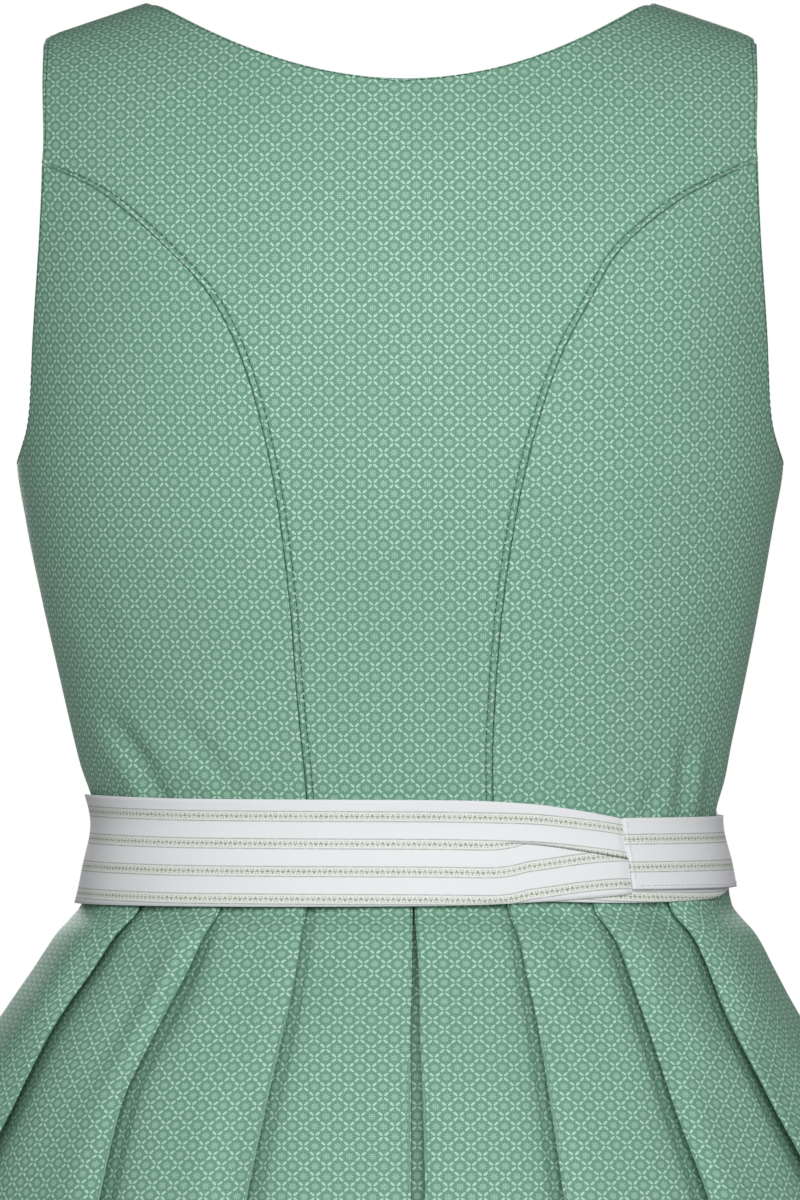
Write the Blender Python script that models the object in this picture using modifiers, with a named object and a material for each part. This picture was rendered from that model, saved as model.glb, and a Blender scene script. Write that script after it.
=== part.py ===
"""Dirndl dress with its tied apron, filled out as when it is worn.

Metres, +Z up, garment front towards -Y, wearer's left towards +X. The origin lies midway
between the two shoulders, level with their ridge, where the wearer carries the dress.
Tables and sizes are in millimetres and are scaled by MM when points become vertices.
Every cloth piece is an open surface with a Solidify modifier for its wall.
"""
import math

import bpy
import numpy as np

MM = 0.001

# ------------------------------------------------------------------ driving dimensions (mm)
UNDERARM = -198.0        # height where the armholes end
WAIST = -352.0           # waist seam between bodice and skirt
SKIRT_HEM = -1052.0
APRON_HEM = -1002.0
BODICE_WALL = 1.5        # cotton with its lining
CLOTH_WALL = 1.1         # skirt, apron and ties
SEAM_GAP = 0.3           # between two pieces sewn together
SHOULDER_SEAM_GAP = 0.36
SHOULDER_CLEAR = 0.95      # keeps the sloping walls of front and back off each other there
SQUARENESS = 2.25        # 2 makes the level sections ellipses, more makes them boxier

# Level sections of the whole filled-out dress, measured to the outer face of the cloth.
SECTIONS = (
    # height, lean, half_width, back_depth, front_depth
    (40.0, 0.0, 195.0, 108.0, 84.0),
    (-60.0, 0.0, 182.0, 112.0, 92.0),
    (-110.0, 0.0, 172.5, 114.0, 104.0),
    (-160.0, 0.0, 166.0, 114.0, 114.0),
    (-198.0, 0.0, 165.0, 112.0, 119.0),
    (-223.0, 0.0, 161.0, 109.0, 121.0),
    (-257.0, -0.5, 154.6, 103.0, 117.0),
    (-291.0, -1.1, 147.3, 96.0, 112.0),
    (-326.0, -1.5, 139.5, 89.5, 108.0),
    (-352.0, -2.4, 133.0, 86.0, 106.0),
    (-370.0, -2.6, 136.7, 89.2, 108.2),
    (-388.0, -2.8, 140.4, 92.4, 110.4),
    (-400.0, -2.6, 151.2, 105.0, 117.0),
    (-416.0, -1.6, 161.0, 116.0, 122.5),
    (-429.0, -0.6, 169.0, 124.0, 127.0),
    (-445.0, 0.0, 178.6, 133.0, 132.5),
    (-470.0, 0.0, 192.0, 145.0, 141.0),
    (-514.0, 0.0, 211.0, 162.0, 155.0),
    (-600.0, 0.0, 237.0, 188.0, 176.0),
    (-700.0, 0.0, 256.0, 208.0, 194.0),
    (-850.0, 0.0, 278.0, 232.0, 215.0),
    (-1052.0, 0.0, 300.0, 255.0, 236.0),
)

# The shoulder ridge slopes down from the neck: height = TOP - SLOPE * sqrt(x^2 + EASE^2).
RIDGE_TOP = 39.1
RIDGE_SLOPE = 0.345
RIDGE_EASE = 30.0
BACK_FALL = (3.2, 2.2)     # how the back rounds forward to the ridge: (1 - v^p)^(1/q)
FRONT_FALL = (2.4, 2.0)

BUST_REACH = 14.0          # fullness that the front seams give
BUST_OUT = 88.0
BUST_HEIGHT = -225.0
BUST_SPREAD = (46.0, 48.0)

# Seams and edges of the bodice: distance out from the centre at each height.
BACK_SEAM_LEFT = (
    # out, height
    (39.0, -352.0), (40.3, -333.0), (44.0, -295.0), (47.0, -256.0), (53.7, -206.0),
    (64.7, -162.0), (79.5, -130.0), (100.2, -107.0), (122.6, -87.3), (137.3, -78.0),
    (150.6, -72.0),
)
BACK_SEAM_RIGHT = (
    # out, height
    (39.6, -352.0), (39.7, -311.0), (44.0, -256.0), (52.9, -203.4), (65.9, -159.5),
    (80.7, -130.0), (93.9, -108.0), (115.0, -90.0), (131.0, -80.3), (150.0, -70.5),
)
FRONT_SEAM = (
    # out, height
    (48.0, -352.0), (54.0, -320.0), (64.0, -290.0), (79.0, -255.0), (87.0, -225.0),
    (92.0, -195.0), (103.0, -165.0), (118.0, -140.0), (134.0, -120.0), (147.0, -107.0),
)
ARMHOLE_BACK = (
    # out, height
    (152.5, -14.0), (153.0, -36.0), (152.4, -60.0), (153.4, -86.0), (155.0, -114.0),
    (157.0, -145.0), (158.0, -170.0), (159.4, -182.0), (162.0, -190.5), (165.0, -198.0),
)
ARMHOLE_FRONT = (
    # out, height
    (152.5, -14.0), (149.0, -45.0), (146.5, -80.0), (147.0, -107.0), (149.5, -140.0),
    (153.0, -165.0), (158.0, -184.0), (161.5, -192.0), (165.0, -198.0),
)
NECK_FRONT = (
    # out, height
    (0.0, -156.0), (34.0, -154.0), (64.0, -145.0), (82.0, -124.0), (90.0, -92.0),
    (99.0, -48.0), (107.0, 0.0),
)
NECK_OUT = 107.0           # where the neck edge crosses the shoulder ridge
NECK_BACK_DIP = -35.8      # the lowest point of the back neck
NECK_BACK_ASIDE = 0.02     # of NECK_OUT: how far that point lies to the wearer's right

LAP = 10.0                 # the right front laps this far past the centre, over the left one
LAP_DEPTH = 2.6            # how far the left front sinks to pass under it
LAP_EASE = 26.0
BUTTON_COUNT = 7
BUTTON_TOP = -168.0
BUTTON_PITCH = 26.5
BUTTON_RADIUS = 6.5
BUTTON_THICK = 3.0
BUTTON_GAP = 0.4

# Pleats: knife pleats whose folds face the centre back, from an inverted pleat there.
FOLDS_PER_SIDE = 9
FRONT_BOX = 42.0           # half of the flat panel at the centre front
UNDERLAP = 39.0            # cloth tucked under each fold at the waist
PLEAT_FALL = (
    # height, depth, layer
    (-352.0, 6.0, 1.45), (-388.0, 8.0, 1.9), (-400.0, 10.6, 2.6), (-429.0, 11.0, 2.7),
    (-514.0, 13.0, 2.7), (-600.0, 15.0, 2.7), (-850.0, 19.0, 2.7), (-1052.0, 21.0, 2.7),
)
SLIT = (
    # height, left_edge, right_edge: run of the inverted pleat's two edges, each to its own side
    (-352.0, -1.0, 4.0), (-388.0, -1.4, 4.4), (-400.0, -1.6, 5.4), (-429.0, -3.2, 8.4),
    (-470.0, -3.7, 10.4), (-514.0, -3.7, 11.4), (-1052.0, -5.0, 15.0),
)
FOLD_PLACES = (
    # height, left_1, left_2, left_3, right_1, right_2, right_3: in even pleat widths
    (-388.0, 1.01, 1.89, 2.83, 1.02, 1.90, 2.785),
    (-410.0, 0.93, 1.87, 2.86, 1.035, 1.94, 2.79),
    (-436.0, 0.895, 1.90, 2.92, 1.063, 1.948, 2.75),
    (-467.0, 0.92, 1.965, 2.93, 1.04, 1.93, 2.78),
    (-514.0, 0.96, 1.92, 3.02, 1.022, 1.98, 2.91),
    (-700.0, 1.03, 1.97, 3.05, 0.98, 2.04, 2.95),
    (-1052.0, 1.04, 1.96, 3.04, 0.96, 2.03, 2.97),
)
OPEN_TUCK = 12.0           # below this much lap a fold opens into a wave
DEEPEST_WAVE = 0.7         # of the depth that would use up all the cloth of a pleat
SKIRT_HEIGHTS = (-352.0, -388.0, -400.0, -416.0, -445.0, -500.0, -600.0, -800.0, -1052.0)
CENTRE_POINTS = 8          # of a section's path: the inverted pleat's half
PLEAT_POINTS = 11
JOIN_PLEAT = 4             # the pleat whose face holds the join of the skirt's two lengths
JOIN_POINT = 2

# Apron: waistband, ties and skirt. Angles run round the waist from the centre back,
# positive towards the wearer's left; the offset is from the dress's face to the middle.
WAISTBAND_TOP = -350.5
WAISTBAND_FOOT = -381.5
WAISTBAND_WALL = 1.2
OVER_TIE = (
    # angle, top, foot, offset
    (-40.4, -351.2, -382.8, 3.1), (-31.0, -347.4, -384.6, 3.1),
    (-20.0, -343.8, -387.4, 3.1), (0.0, -342.6, -388.6, 3.1),
    (40.0, -342.6, -388.2, 3.1), (60.0, -343.4, -386.4, 3.1),
    (84.0, -346.5, -381.6, 3.1), (130.0, -350.0, -381.2, 3.2), (156.0, -351.0, -381.0, 3.4),
    (182.0, -351.0, -380.0, 4.6), (187.5, -351.0, -378.0, 6.0),
)
UNDER_TIE = (
    # angle, top, foot, offset
    (40.0, -347.0, -381.0, 1.35), (20.0, -347.0, -383.0, 1.35), (-20.0, -350.0, -384.6, 1.35),
    (-40.0, -352.5, -385.6, 1.35), (-66.0, -353.5, -384.6, 1.35), (-84.0, -352.5, -379.0, 1.35),
    (-104.0, -343.0, -369.0, 1.35), (-120.0, -326.0, -352.0, 1.35), (-128.0, -318.0, -344.0, 1.4),
    (-155.0, -317.0, -343.0, 3.0), (-161.0, -320.0, -342.0, 6.5),
)
BAND_OFFSETS = (
    # angle, offset
    (-40.7, 3.1), (-88.0, 3.1), (-104.0, 4.1), (-149.0, 4.1), (-179.0, 1.35), (-319.3, 1.35),
)
BAND_STEP = 8.0            # degrees between the columns of the bands, halved at the sides

KNOT_ANGLE = -166.0
KNOT_HEIGHT = -357.0
KNOT_HALF = (15.0, 9.0, 18.0)   # across, outwards, upwards
KNOT_SWELL = 1.19          # the cube that rounds off to those halves
KNOT_OFFSET = 12.9
LOOP_LENGTH = 72.0
LOOP_WIDTH = 44.0
LOOP_AT_KNOT = 9.0         # half of the loop's width where it leaves the knot
LOOP_OPEN = 14.0
TAIL_WIDTH = 46.0
TAIL_AT_KNOT = 6.0         # half of the tail's width there
TAIL_APART = 6.2           # each tail's middle from the knot's middle
TAIL_FANS_BY = 0.2         # of its length
TAIL_LAYER = 1.7           # a tail's middle above the gathers it lies on

APRON_GATHERS = 13
APRON_FALL = (
    # height, half_angle, wave, offset
    (-382.0, 84.0, 0.4, 1.9),
    (-400.0, 78.0, 1.6, 3.4),
    (-450.0, 67.0, 3.6, 5.2),
    (-560.0, 58.0, 5.5, 7.2),
    (-760.0, 54.0, 7.5, 9.2),
    (-1002.0, 52.0, 9.5, 11.2),
)


# ------------------------------------------------------------------ reading the tables
def table_reader(rows):
    """Smooth reading of a table by its first column; it never swings past its rows."""
    data = np.array(sorted(rows), dtype=float)
    at, values = data[:, 0], data[:, 1:]
    step = np.diff(at)[:, None]
    slope = np.diff(values, axis=0) / step
    tangent = np.zeros_like(values)
    tangent[0], tangent[-1] = slope[0], slope[-1]
    before, after = slope[:-1], slope[1:]
    same_way = before * after > 0
    total = np.where(same_way, before + after, 1.0)
    tangent[1:-1] = np.where(same_way, 2 * before * after / total, 0.0)

    def read(where):
        where = np.clip(np.asarray(where, dtype=float), at[0], at[-1])
        k = np.clip(np.searchsorted(at, where) - 1, 0, len(at) - 2)
        width = (at[k + 1] - at[k])[..., None]
        t = ((where - at[k]) / (at[k + 1] - at[k]))[..., None]
        return (
            (2 * t**3 - 3 * t**2 + 1) * values[k]
            + (t**3 - 2 * t**2 + t) * width * tangent[k]
            + (3 * t**2 - 2 * t**3) * values[k + 1]
            + (t**3 - t**2) * width * tangent[k + 1]
        )

    return read


section_at = table_reader(SECTIONS)


def smooth_path(points, pieces):
    """A smooth curve through the points, cut into even pieces."""
    p = np.array(points, dtype=float)
    p = np.vstack([2 * p[0] - p[1], p, 2 * p[-1] - p[-2]])
    dense = []
    for k in range(1, len(p) - 2):
        for t in np.linspace(0.0, 1.0, 12, endpoint=False):
            dense.append(0.5 * (
                2 * p[k] + (p[k + 1] - p[k - 1]) * t
                + (2 * p[k - 1] - 5 * p[k] + 4 * p[k + 1] - p[k + 2]) * t**2
                + (3 * p[k] - p[k - 1] - 3 * p[k + 1] + p[k + 2]) * t**3))
    dense.append(p[-2])
    dense = np.array(dense)
    run = np.concatenate([[0.0], np.cumsum(np.linalg.norm(np.diff(dense, axis=0), axis=1))])
    wanted = np.linspace(0.0, run[-1], pieces + 1)
    return np.column_stack([np.interp(wanted, run, dense[:, c]) for c in range(dense.shape[1])])


def moved_aside(path, distance):
    """A flat path moved sideways, to its left for a positive distance."""
    along = np.gradient(path, axis=0)
    along /= np.linalg.norm(along, axis=1)[:, None]
    return path + distance * np.column_stack([-along[:, 1], along[:, 0]])


# ------------------------------------------------------------------ the filled-out form
def ridge_height(x):
    return RIDGE_TOP - RIDGE_SLOPE * np.sqrt(x**2 + RIDGE_EASE**2)


def hull(angle, height, offset=0.0):
    """Points of the dress's face below the armholes, at angles in degrees from the back."""
    angle, height, offset = np.broadcast_arrays(np.radians(angle), height, offset)
    lean, half, back, front = np.moveaxis(section_at(height), -1, 0)
    power = 2.0 / SQUARENESS
    side = np.sign(np.sin(angle)) * np.abs(np.sin(angle)) ** power
    deep = np.sign(np.cos(angle)) * np.abs(np.cos(angle)) ** power
    x = half * side
    y = np.where(deep > 0, back, front) * deep
    y = y - np.where(deep < 0, bust(x, height) * np.abs(deep), 0.0)
    outward = np.stack([np.sin(angle) / half, np.cos(angle) / np.where(deep > 0, back, front)], -1)
    outward /= np.linalg.norm(outward, axis=-1)[..., None]
    x = x + lean + offset * outward[..., 0]
    y = y + offset * outward[..., 1]
    return np.stack([x, y, np.asarray(height, dtype=float) + 0.0 * x], axis=-1)


def bust(x, height):
    up = (height - BUST_HEIGHT) / BUST_SPREAD[1]
    across = sum(np.exp(-0.5 * ((x - side * BUST_OUT) / BUST_SPREAD[0]) ** 2) for side in (-1, 1))
    return BUST_REACH * across * np.exp(-0.5 * up**2)


def to_chart(out, height):
    """Chart a bodice point: q, its share of a quarter turn, and m, its run up the body."""
    lean, half, _, _ = np.moveaxis(section_at(height), -1, 0)
    x = out - lean
    q = np.sign(x) * np.arcsin(np.clip(np.abs(x) / half, 0, 1) ** (SQUARENESS / 2)) / (math.pi / 2)
    reach = ridge_height(out) - UNDERARM
    rise = np.clip((height - UNDERARM) / reach, 0.0, 1.0)
    m = np.where(height > UNDERARM, UNDERARM + reach * np.arcsin(rise), height)
    return np.stack([q, m], axis=-1)


def from_chart(chart, is_back):
    """Place charted bodice points on the body's back or front."""
    q, m = chart[..., 0], chart[..., 1]
    power = 2.0 / SQUARENESS
    side = np.sign(q) * np.sin(np.abs(q) * math.pi / 2) ** power
    deep = np.abs(np.cos(q * math.pi / 2)) ** power
    height = np.array(m)
    for _ in range(12):
        lean, half, back, front = np.moveaxis(section_at(height), -1, 0)
        x = lean + half * side
        reach = ridge_height(x) - UNDERARM
        turn = np.clip((m - UNDERARM) / reach, 0.0, math.pi / 2)
        height = np.where(m > UNDERARM, UNDERARM + reach * np.sin(turn), m)
    rise = np.clip(np.where(m > UNDERARM, np.sin(turn), 0.0), 0.0, 1.0)
    p, r = BACK_FALL if is_back else FRONT_FALL
    fall = (1.0 - rise**p) ** (1.0 / r)
    y = (back if is_back else front) * deep * fall
    if not is_back:
        y = -(y + bust(x, height) * deep * fall)
    return np.stack([x, y, height], axis=-1)


def ridge_path(first_out, last_out, pieces):
    """Charted points just short of the shoulder ridge, where the shoulder seam lies."""
    out = np.linspace(first_out, last_out, pieces + 1)
    chart = to_chart(out, ridge_height(out))
    short = 1.0 - SHOULDER_SEAM_GAP / 400.0
    chart[:, 1] = UNDERARM + (chart[:, 1] - UNDERARM) * short
    return chart


def patch(left, right, top, first_curved):
    """A grid of chart points between two edges that run up the panel. Its rows are straight
    up to the row first_curved, and above it they bend into the curve of the top edge."""
    share = np.linspace(0, 1, len(top))[None, :, None]
    ruled = (1 - share) * left[:, None] + share * right[:, None]
    gone = right[:, 1] - right[first_curved, 1]
    progress = np.clip(gone / gone[-1], 0.0, 1.0)
    progress[:first_curved + 1] = 0.0
    return ruled + progress[:, None, None] * (top - ruled[-1])[None]


# ------------------------------------------------------------------ making the objects
def clear_scene():
    for old in list(bpy.data.objects):
        bpy.data.objects.remove(old, do_unlink=True)


def finish_material(name, colour, roughness):
    material = bpy.data.materials.new(name)
    material.use_nodes = True
    shader = material.node_tree.nodes["Principled BSDF"]
    shader.inputs["Base Color"].default_value = (*colour, 1.0)
    shader.inputs["Roughness"].default_value = roughness
    shader.inputs["Metallic"].default_value = 0.0
    return material


def add_object(name, mesh, material):
    made = bpy.data.objects.new(name, mesh)
    mesh.materials.append(material)
    DRESS.objects.link(made)
    return made


def add_cloth(name, grid, wall, material, offset=-1.0):
    """A cloth piece from a grid of points in millimetres, its rows running up the piece."""
    rows, columns = grid.shape[:2]
    corner = [(r * columns + c) for r in range(rows - 1) for c in range(columns - 1)]
    faces = [(k, k + 1, k + columns + 1, k + columns) for k in corner]
    mesh = bpy.data.meshes.new(name)
    mesh.from_pydata([tuple(v) for v in grid.reshape(-1, 3) * MM], [], faces)
    mesh.validate()
    mesh.shade_smooth()
    made = add_object(name, mesh, material)
    wall_maker = made.modifiers.new("cloth wall", "SOLIDIFY")
    wall_maker.thickness = wall * MM
    wall_maker.offset = offset
    return made


# ------------------------------------------------------------------ bodice
SEAM_PIECES = 13
ARMHOLE_PIECES = 4
SHOULDER_PIECES = 4
BACK_COLUMNS = 14
FRONT_COLUMNS = 8
LAP_PIECES = 8
SIDE_COLUMNS = 8
SIDE_SEAM = 0.999                # of a quarter turn round from the centre


def split_armhole(table, height, upper):
    """The armhole's rows above or below the height where a seam meets it."""
    rows = [row for row in table if (row[1] > height + 4.0) == upper and abs(row[1] - height) > 4.0]
    out = float(np.interp(-height, [-r[1] for r in table], [r[0] for r in table]))
    return rows + [(out, height)] if upper else [(out, height)] + rows


def panel_side(seam, armhole, inwards, sign):
    """The outer edge of a centre panel up its seam and its armhole, charted."""
    seam_path = moved_aside(smooth_path(seam, SEAM_PIECES), inwards * SEAM_GAP / 2)
    upper = split_armhole(armhole, seam[-1][1], True)[::-1]
    upper[0] = tuple(seam_path[-1])
    arm_path = smooth_path(upper, ARMHOLE_PIECES)
    edge = np.vstack([seam_path, arm_path[1:-1]]) * (sign, 1.0)
    chart = to_chart(edge[:, 0], edge[:, 1])
    chart[0, 1] = WAIST + SEAM_GAP
    return chart


def facing_out(grid):
    """The same grid with its columns in the order that makes its faces look outwards."""
    r, c = grid.shape[0] // 2, grid.shape[1] // 2
    normal = np.cross(grid[r, c + 1] - grid[r, c], grid[r + 1, c] - grid[r, c])
    return grid if normal[:2] @ grid[r, c, :2] > 0 else grid[:, ::-1]


def make_back_centre():
    sides = []
    for seam, sign in ((BACK_SEAM_LEFT, 1.0), (BACK_SEAM_RIGHT, -1.0)):
        shoulder = ridge_path(sign * ARMHOLE_BACK[0][0], sign * NECK_OUT, SHOULDER_PIECES)
        sides.append(np.vstack([panel_side(seam, ARMHOLE_BACK, 1.0, sign), shoulder]))
    left, right = sides
    out = np.linspace(NECK_OUT, -NECK_OUT, BACK_COLUMNS + 1)
    share = out / NECK_OUT
    share = share + NECK_BACK_ASIDE * (1.0 - share**2)
    top = to_chart(out, NECK_BACK_DIP + (ridge_height(NECK_OUT) - NECK_BACK_DIP) * share**2)
    top[0], top[-1] = left[-1], right[-1]
    grid = from_chart(patch(left, right, top, SEAM_PIECES), True)
    grid[..., 1] = np.maximum(grid[..., 1], SHOULDER_CLEAR)
    add_cloth("back_centre", facing_out(grid), BODICE_WALL, GREEN)


def make_front(name, sign):
    """A front panel: its inner edge runs up the lap and on round the neck to the shoulder."""
    outer = panel_side(FRONT_SEAM, ARMHOLE_FRONT, 1.0, sign)
    lap_heights = np.linspace(WAIST + SEAM_GAP, NECK_FRONT[0][1], LAP_PIECES + 1)
    lap = np.column_stack([np.full(len(lap_heights), -sign * LAP), lap_heights])
    neck = smooth_path(((-LAP, NECK_FRONT[0][1]),) + NECK_FRONT[1:], len(outer) - LAP_PIECES)
    inner = np.vstack([lap, neck[1:-1] * (sign, 1.0)])
    inner = to_chart(inner[:, 0], inner[:, 1])
    shoulder = ridge_path(sign * NECK_OUT, sign * ARMHOLE_FRONT[0][0], FRONT_COLUMNS)
    share = np.linspace(0, 1, FRONT_COLUMNS + 1)[None, :, None]
    rows = (1 - share) * inner[:, None] + share * outer[:, None]
    grid = from_chart(np.concatenate([rows, shoulder[None]]), False)
    grid[..., 1] = np.minimum(grid[..., 1], -SHOULDER_CLEAR)
    if sign > 0:
        ease = np.clip((2.4 * LAP + LAP_EASE - grid[..., 0]) / LAP_EASE, 0.0, 1.0)
        grid[..., 1] += LAP_DEPTH * ease**2 * (3 - 2 * ease)
    return add_cloth(name, facing_out(grid), BODICE_WALL, GREEN)


def make_side_panel(name, seam, armhole, is_back, sign):
    """A panel from its shaped seam round to the side seam, with the lower armhole on top."""
    inner = moved_aside(smooth_path(seam, SEAM_PIECES), -SEAM_GAP / 2)
    lower = split_armhole(armhole, seam[-1][1], False)
    lower[0] = tuple(inner[-1])
    top = to_chart(*smooth_path(lower, SIDE_COLUMNS).T)
    inner = to_chart(sign * inner[:, 0], inner[:, 1])
    inner[:, 0] = np.abs(inner[:, 0])
    top[:, 0] = np.minimum(top[:, 0], SIDE_SEAM)
    top[-1] = (SIDE_SEAM, UNDERARM)
    heights = np.linspace(WAIST + SEAM_GAP, UNDERARM, len(inner))
    outer = np.column_stack([np.full(len(inner), SIDE_SEAM), heights])
    inner[0, 1] = WAIST + SEAM_GAP
    top[0] = inner[-1]
    grid = from_chart(patch(inner, outer, top, 0), is_back)
    if sign < 0:
        grid[..., 0] = 2 * section_at(grid[..., 2])[..., 0] - grid[..., 0]
    add_cloth(name, facing_out(grid), BODICE_WALL, GREEN)


def make_buttons(carrier):
    """Buttons down the centre front, each lying on the face of the front that carries it."""
    reach = BUTTON_RADIUS
    carrier = carrier.evaluated_get(bpy.context.evaluated_depsgraph_get())
    for k in range(BUTTON_COUNT):
        height = BUTTON_TOP - BUTTON_PITCH * k
        foremost = []
        for out, up in ((0, 0), (reach, 0), (-reach, 0), (0, reach), (0, -reach)):
            start = (out * MM, -1.0, (height + up) * MM)
            foremost.append(carrier.ray_cast(start, (0.0, 1.0, 0.0))[1][1] / MM)
        tilt = math.atan2(foremost[3] - foremost[4], 2 * reach)
        seat = min(foremost[:3] + [(foremost[3] + foremost[4]) / 2])
        out = BUTTON_GAP + BUTTON_THICK / 2
        centre = (0.0, seat - out * math.cos(tilt), height + out * math.sin(tilt))
        bpy.ops.mesh.primitive_cylinder_add(
            vertices=12, radius=BUTTON_RADIUS * MM, depth=BUTTON_THICK * MM,
            location=[c * MM for c in centre], rotation=(math.pi / 2 - tilt, 0.0, 0.0))
        button = bpy.context.object
        button.name = button.data.name = f"button_{k + 1}"
        for holder in list(button.users_collection):
            holder.objects.unlink(button)
        DRESS.objects.link(button)
        button.data.materials.append(HORN)
        edge = button.modifiers.new("rounded edge", "BEVEL")
        edge.width = 0.9 * MM
        edge.segments = 1


# ------------------------------------------------------------------ skirt
pleat_at = table_reader(PLEAT_FALL)
slit_at = table_reader(SLIT)
fold_places = table_reader(FOLD_PLACES)


def level_run(height):
    """Read the level section by its run, in mm from the centre back, positive to the left."""
    angle = np.linspace(0.0, 180.0, 361)
    points = hull(angle, height)[:, :2]
    lean = section_at(height)[0]
    points[:, 0] -= lean
    run = np.concatenate([[0.0], np.cumsum(np.linalg.norm(np.diff(points, axis=0), axis=1))])
    along = np.gradient(points, run, axis=0)

    def read(where, outwards):
        near = np.abs(where)
        x, y = (np.interp(near, run, points[:, c]) for c in (0, 1))
        ax, ay = (np.interp(near, run, along[:, c]) for c in (0, 1))
        size = np.hypot(ax, ay)
        x = x - outwards * ay / size
        y = y + outwards * ax / size
        return np.stack([lean + np.where(where < 0, -x, x), y], axis=-1)

    return read, run[-1]


def fold_runs(height, half_run, side):
    """How far round the section each fold lies, from the centre back to the front panel."""
    step = (half_run - FRONT_BOX) / (FOLDS_PER_SIDE - 1)
    placed = fold_places(height)[3 * side: 3 * side + 3]
    rest = np.linspace(placed[-1], FOLDS_PER_SIDE - 1, FOLDS_PER_SIDE - len(placed))
    return [slit_at(height)[side], *(step * placed), *(step * rest[1:])]


def tucked_length(pitch, depth, cloth):
    """Cloth lapped under a fold when a pleat of this much cloth spans the pitch."""
    low, high = -pitch, cloth
    for _ in range(50):
        middle = 0.5 * (low + high)
        used = math.hypot(pitch + middle, depth) + math.hypot(middle, depth)
        low, high = (middle, high) if used < cloth else (low, middle)
    return middle


def fold_points(reach, tuck, depth, layer):
    """The valley, the way back and the turn up to the next fold, as (run, inwards) pairs.

    Pressed, the cloth doubles back a layer above itself; opened, it climbs as a wave.
    """
    turn = layer / 2
    end = reach - tuck
    pressed = ((reach + turn, depth - turn), (reach, depth - layer), (reach - tuck / 2, depth / 2),
               (end, layer), (end - turn, turn))
    opened = [(reach - share * tuck, depth * (1 - share)) for share in (0.1, 0.3, 0.5, 0.7, 0.9)]
    closed = min(max(tuck / OPEN_TUCK, 0.0), 1.0)
    return [(closed * p[0] + (1 - closed) * o[0], closed * p[1] + (1 - closed) * o[1])
            for p, o in zip(pressed, opened)]


def pleat_points(start, pitch, tuck, depth, layer):
    """One pleat: its face down to the valley under the next fold, then up to that fold."""
    reach = pitch + tuck
    first = UNDERLAP / (FOLD_PITCH + UNDERLAP)
    shares = (0.0, first / 2, first, 1.0 - first, 1.0 - first / 2, 1.0)
    closed = min(max(tuck / OPEN_TUCK, 0.0), 1.0)
    points = []
    for share in shares:
        rounded = 0.5 - 0.5 * math.cos(math.pi * share)
        points.append((start + share * reach, depth * (closed * share + (1 - closed) * rounded)))
    return points + fold_points(start + reach, tuck, depth, layer)


def skirt_side(height, side):
    """One side of the pleated section, from the centre back to the centre front."""
    _, half_run = level_run(height)
    _, waist_half = level_run(WAIST)
    depth, layer = pleat_at(height)
    waist_depth = pleat_at(WAIST)[0]
    here = fold_runs(height, half_run, side)
    waist = fold_runs(WAIST, waist_half, side)
    first = here[0]
    tuck = UNDERLAP - max(first, 0.0) / 2
    path = [(0.0, depth), (first + tuck / 2, depth), (first + tuck, depth)]
    path += fold_points(first + tuck, tuck, depth, layer)
    for fold in range(FOLDS_PER_SIDE - 1):
        pitch = here[fold + 1] - here[fold]
        waist_pitch = waist[fold + 1] - waist[fold]
        cloth = (math.hypot(waist_pitch + UNDERLAP, waist_depth)
                 + math.hypot(UNDERLAP, waist_depth))
        slack = math.sqrt(cloth**2 - pitch**2) / 2
        sunk = min(depth, DEEPEST_WAVE * slack)
        under = tucked_length(pitch, sunk, cloth)
        path += pleat_points(here[fold], pitch, under, sunk, layer)
    last = here[-1]
    for share in (0.0, 0.45, 0.9):
        path.append((last + share * (half_run - last), 0.0))
    path.append((half_run, 0.0))
    return np.array(path)


def make_skirt():
    back_rows, front_rows = [], []
    for height in sorted(SKIRT_HEIGHTS):
        read, _ = level_run(height)
        sides = {}
        for side, sign in ((0, 1.0), (1, -1.0)):
            path = skirt_side(height, side)
            flat = read(sign * path[:, 0], -path[:, 1] - CLOTH_WALL / 2)
            sides[side] = np.column_stack([flat, np.full(len(flat), height)])
        join = CENTRE_POINTS + JOIN_PLEAT * PLEAT_POINTS + JOIN_POINT
        back_rows.append(np.vstack([sides[0][: join + 1][::-1], sides[1][1: join + 1]]))
        front_rows.append(np.vstack([sides[1][join:], sides[0][join:-1][::-1]]))
    back, front = np.array(back_rows), np.array(front_rows)
    for piece in (back, front):
        piece[-1, :, 2] -= SEAM_GAP
        for end, beside in ((0, 1), (-1, -2)):
            step = piece[:, beside] - piece[:, end]
            step /= np.linalg.norm(step, axis=1)[:, None]
            piece[:, end] += step * SEAM_GAP / 2
    add_cloth("skirt_back", back, CLOTH_WALL, GREEN, offset=0.0)
    add_cloth("skirt_front", front, CLOTH_WALL, GREEN, offset=0.0)


# ------------------------------------------------------------------ apron
def band_columns(first, last):
    """Angles of a band's columns. All bands share them, so their layers stay side by side."""
    wide = np.arange(-360.0, 361.0, BAND_STEP)
    at_side = [a for a in wide + BAND_STEP / 2 if abs(abs((a + 180.0) % 360.0 - 180.0) - 90.0) < 22.0]
    inner = [a for a in sorted([*wide, *at_side]) if first + 1.5 < a < last - 1.5]
    return np.array([first, *inner, last])


def add_band(name, table, wall):
    """A strip round the waist read from a table of angle, top, foot and offset."""
    angles = [row[0] for row in table]
    angle = band_columns(min(angles), max(angles))
    top, foot, offset = table_reader(table)(angle).T
    height = foot + np.linspace(0.0, 1.0, 4)[:, None] * (top - foot)
    grid = hull(angle[None, :] + 0.0 * height, height, offset + 0.0 * height)
    add_cloth(name, facing_out(grid), wall, WHITE, offset=0.0)


def make_bands():
    band = [(angle, WAISTBAND_TOP, WAISTBAND_FOOT, offset) for angle, offset in BAND_OFFSETS]
    add_band("apron_waistband", band, WAISTBAND_WALL)
    add_band("tie_over", OVER_TIE, CLOTH_WALL)
    add_band("tie_under", UNDER_TIE, CLOTH_WALL)


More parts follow.
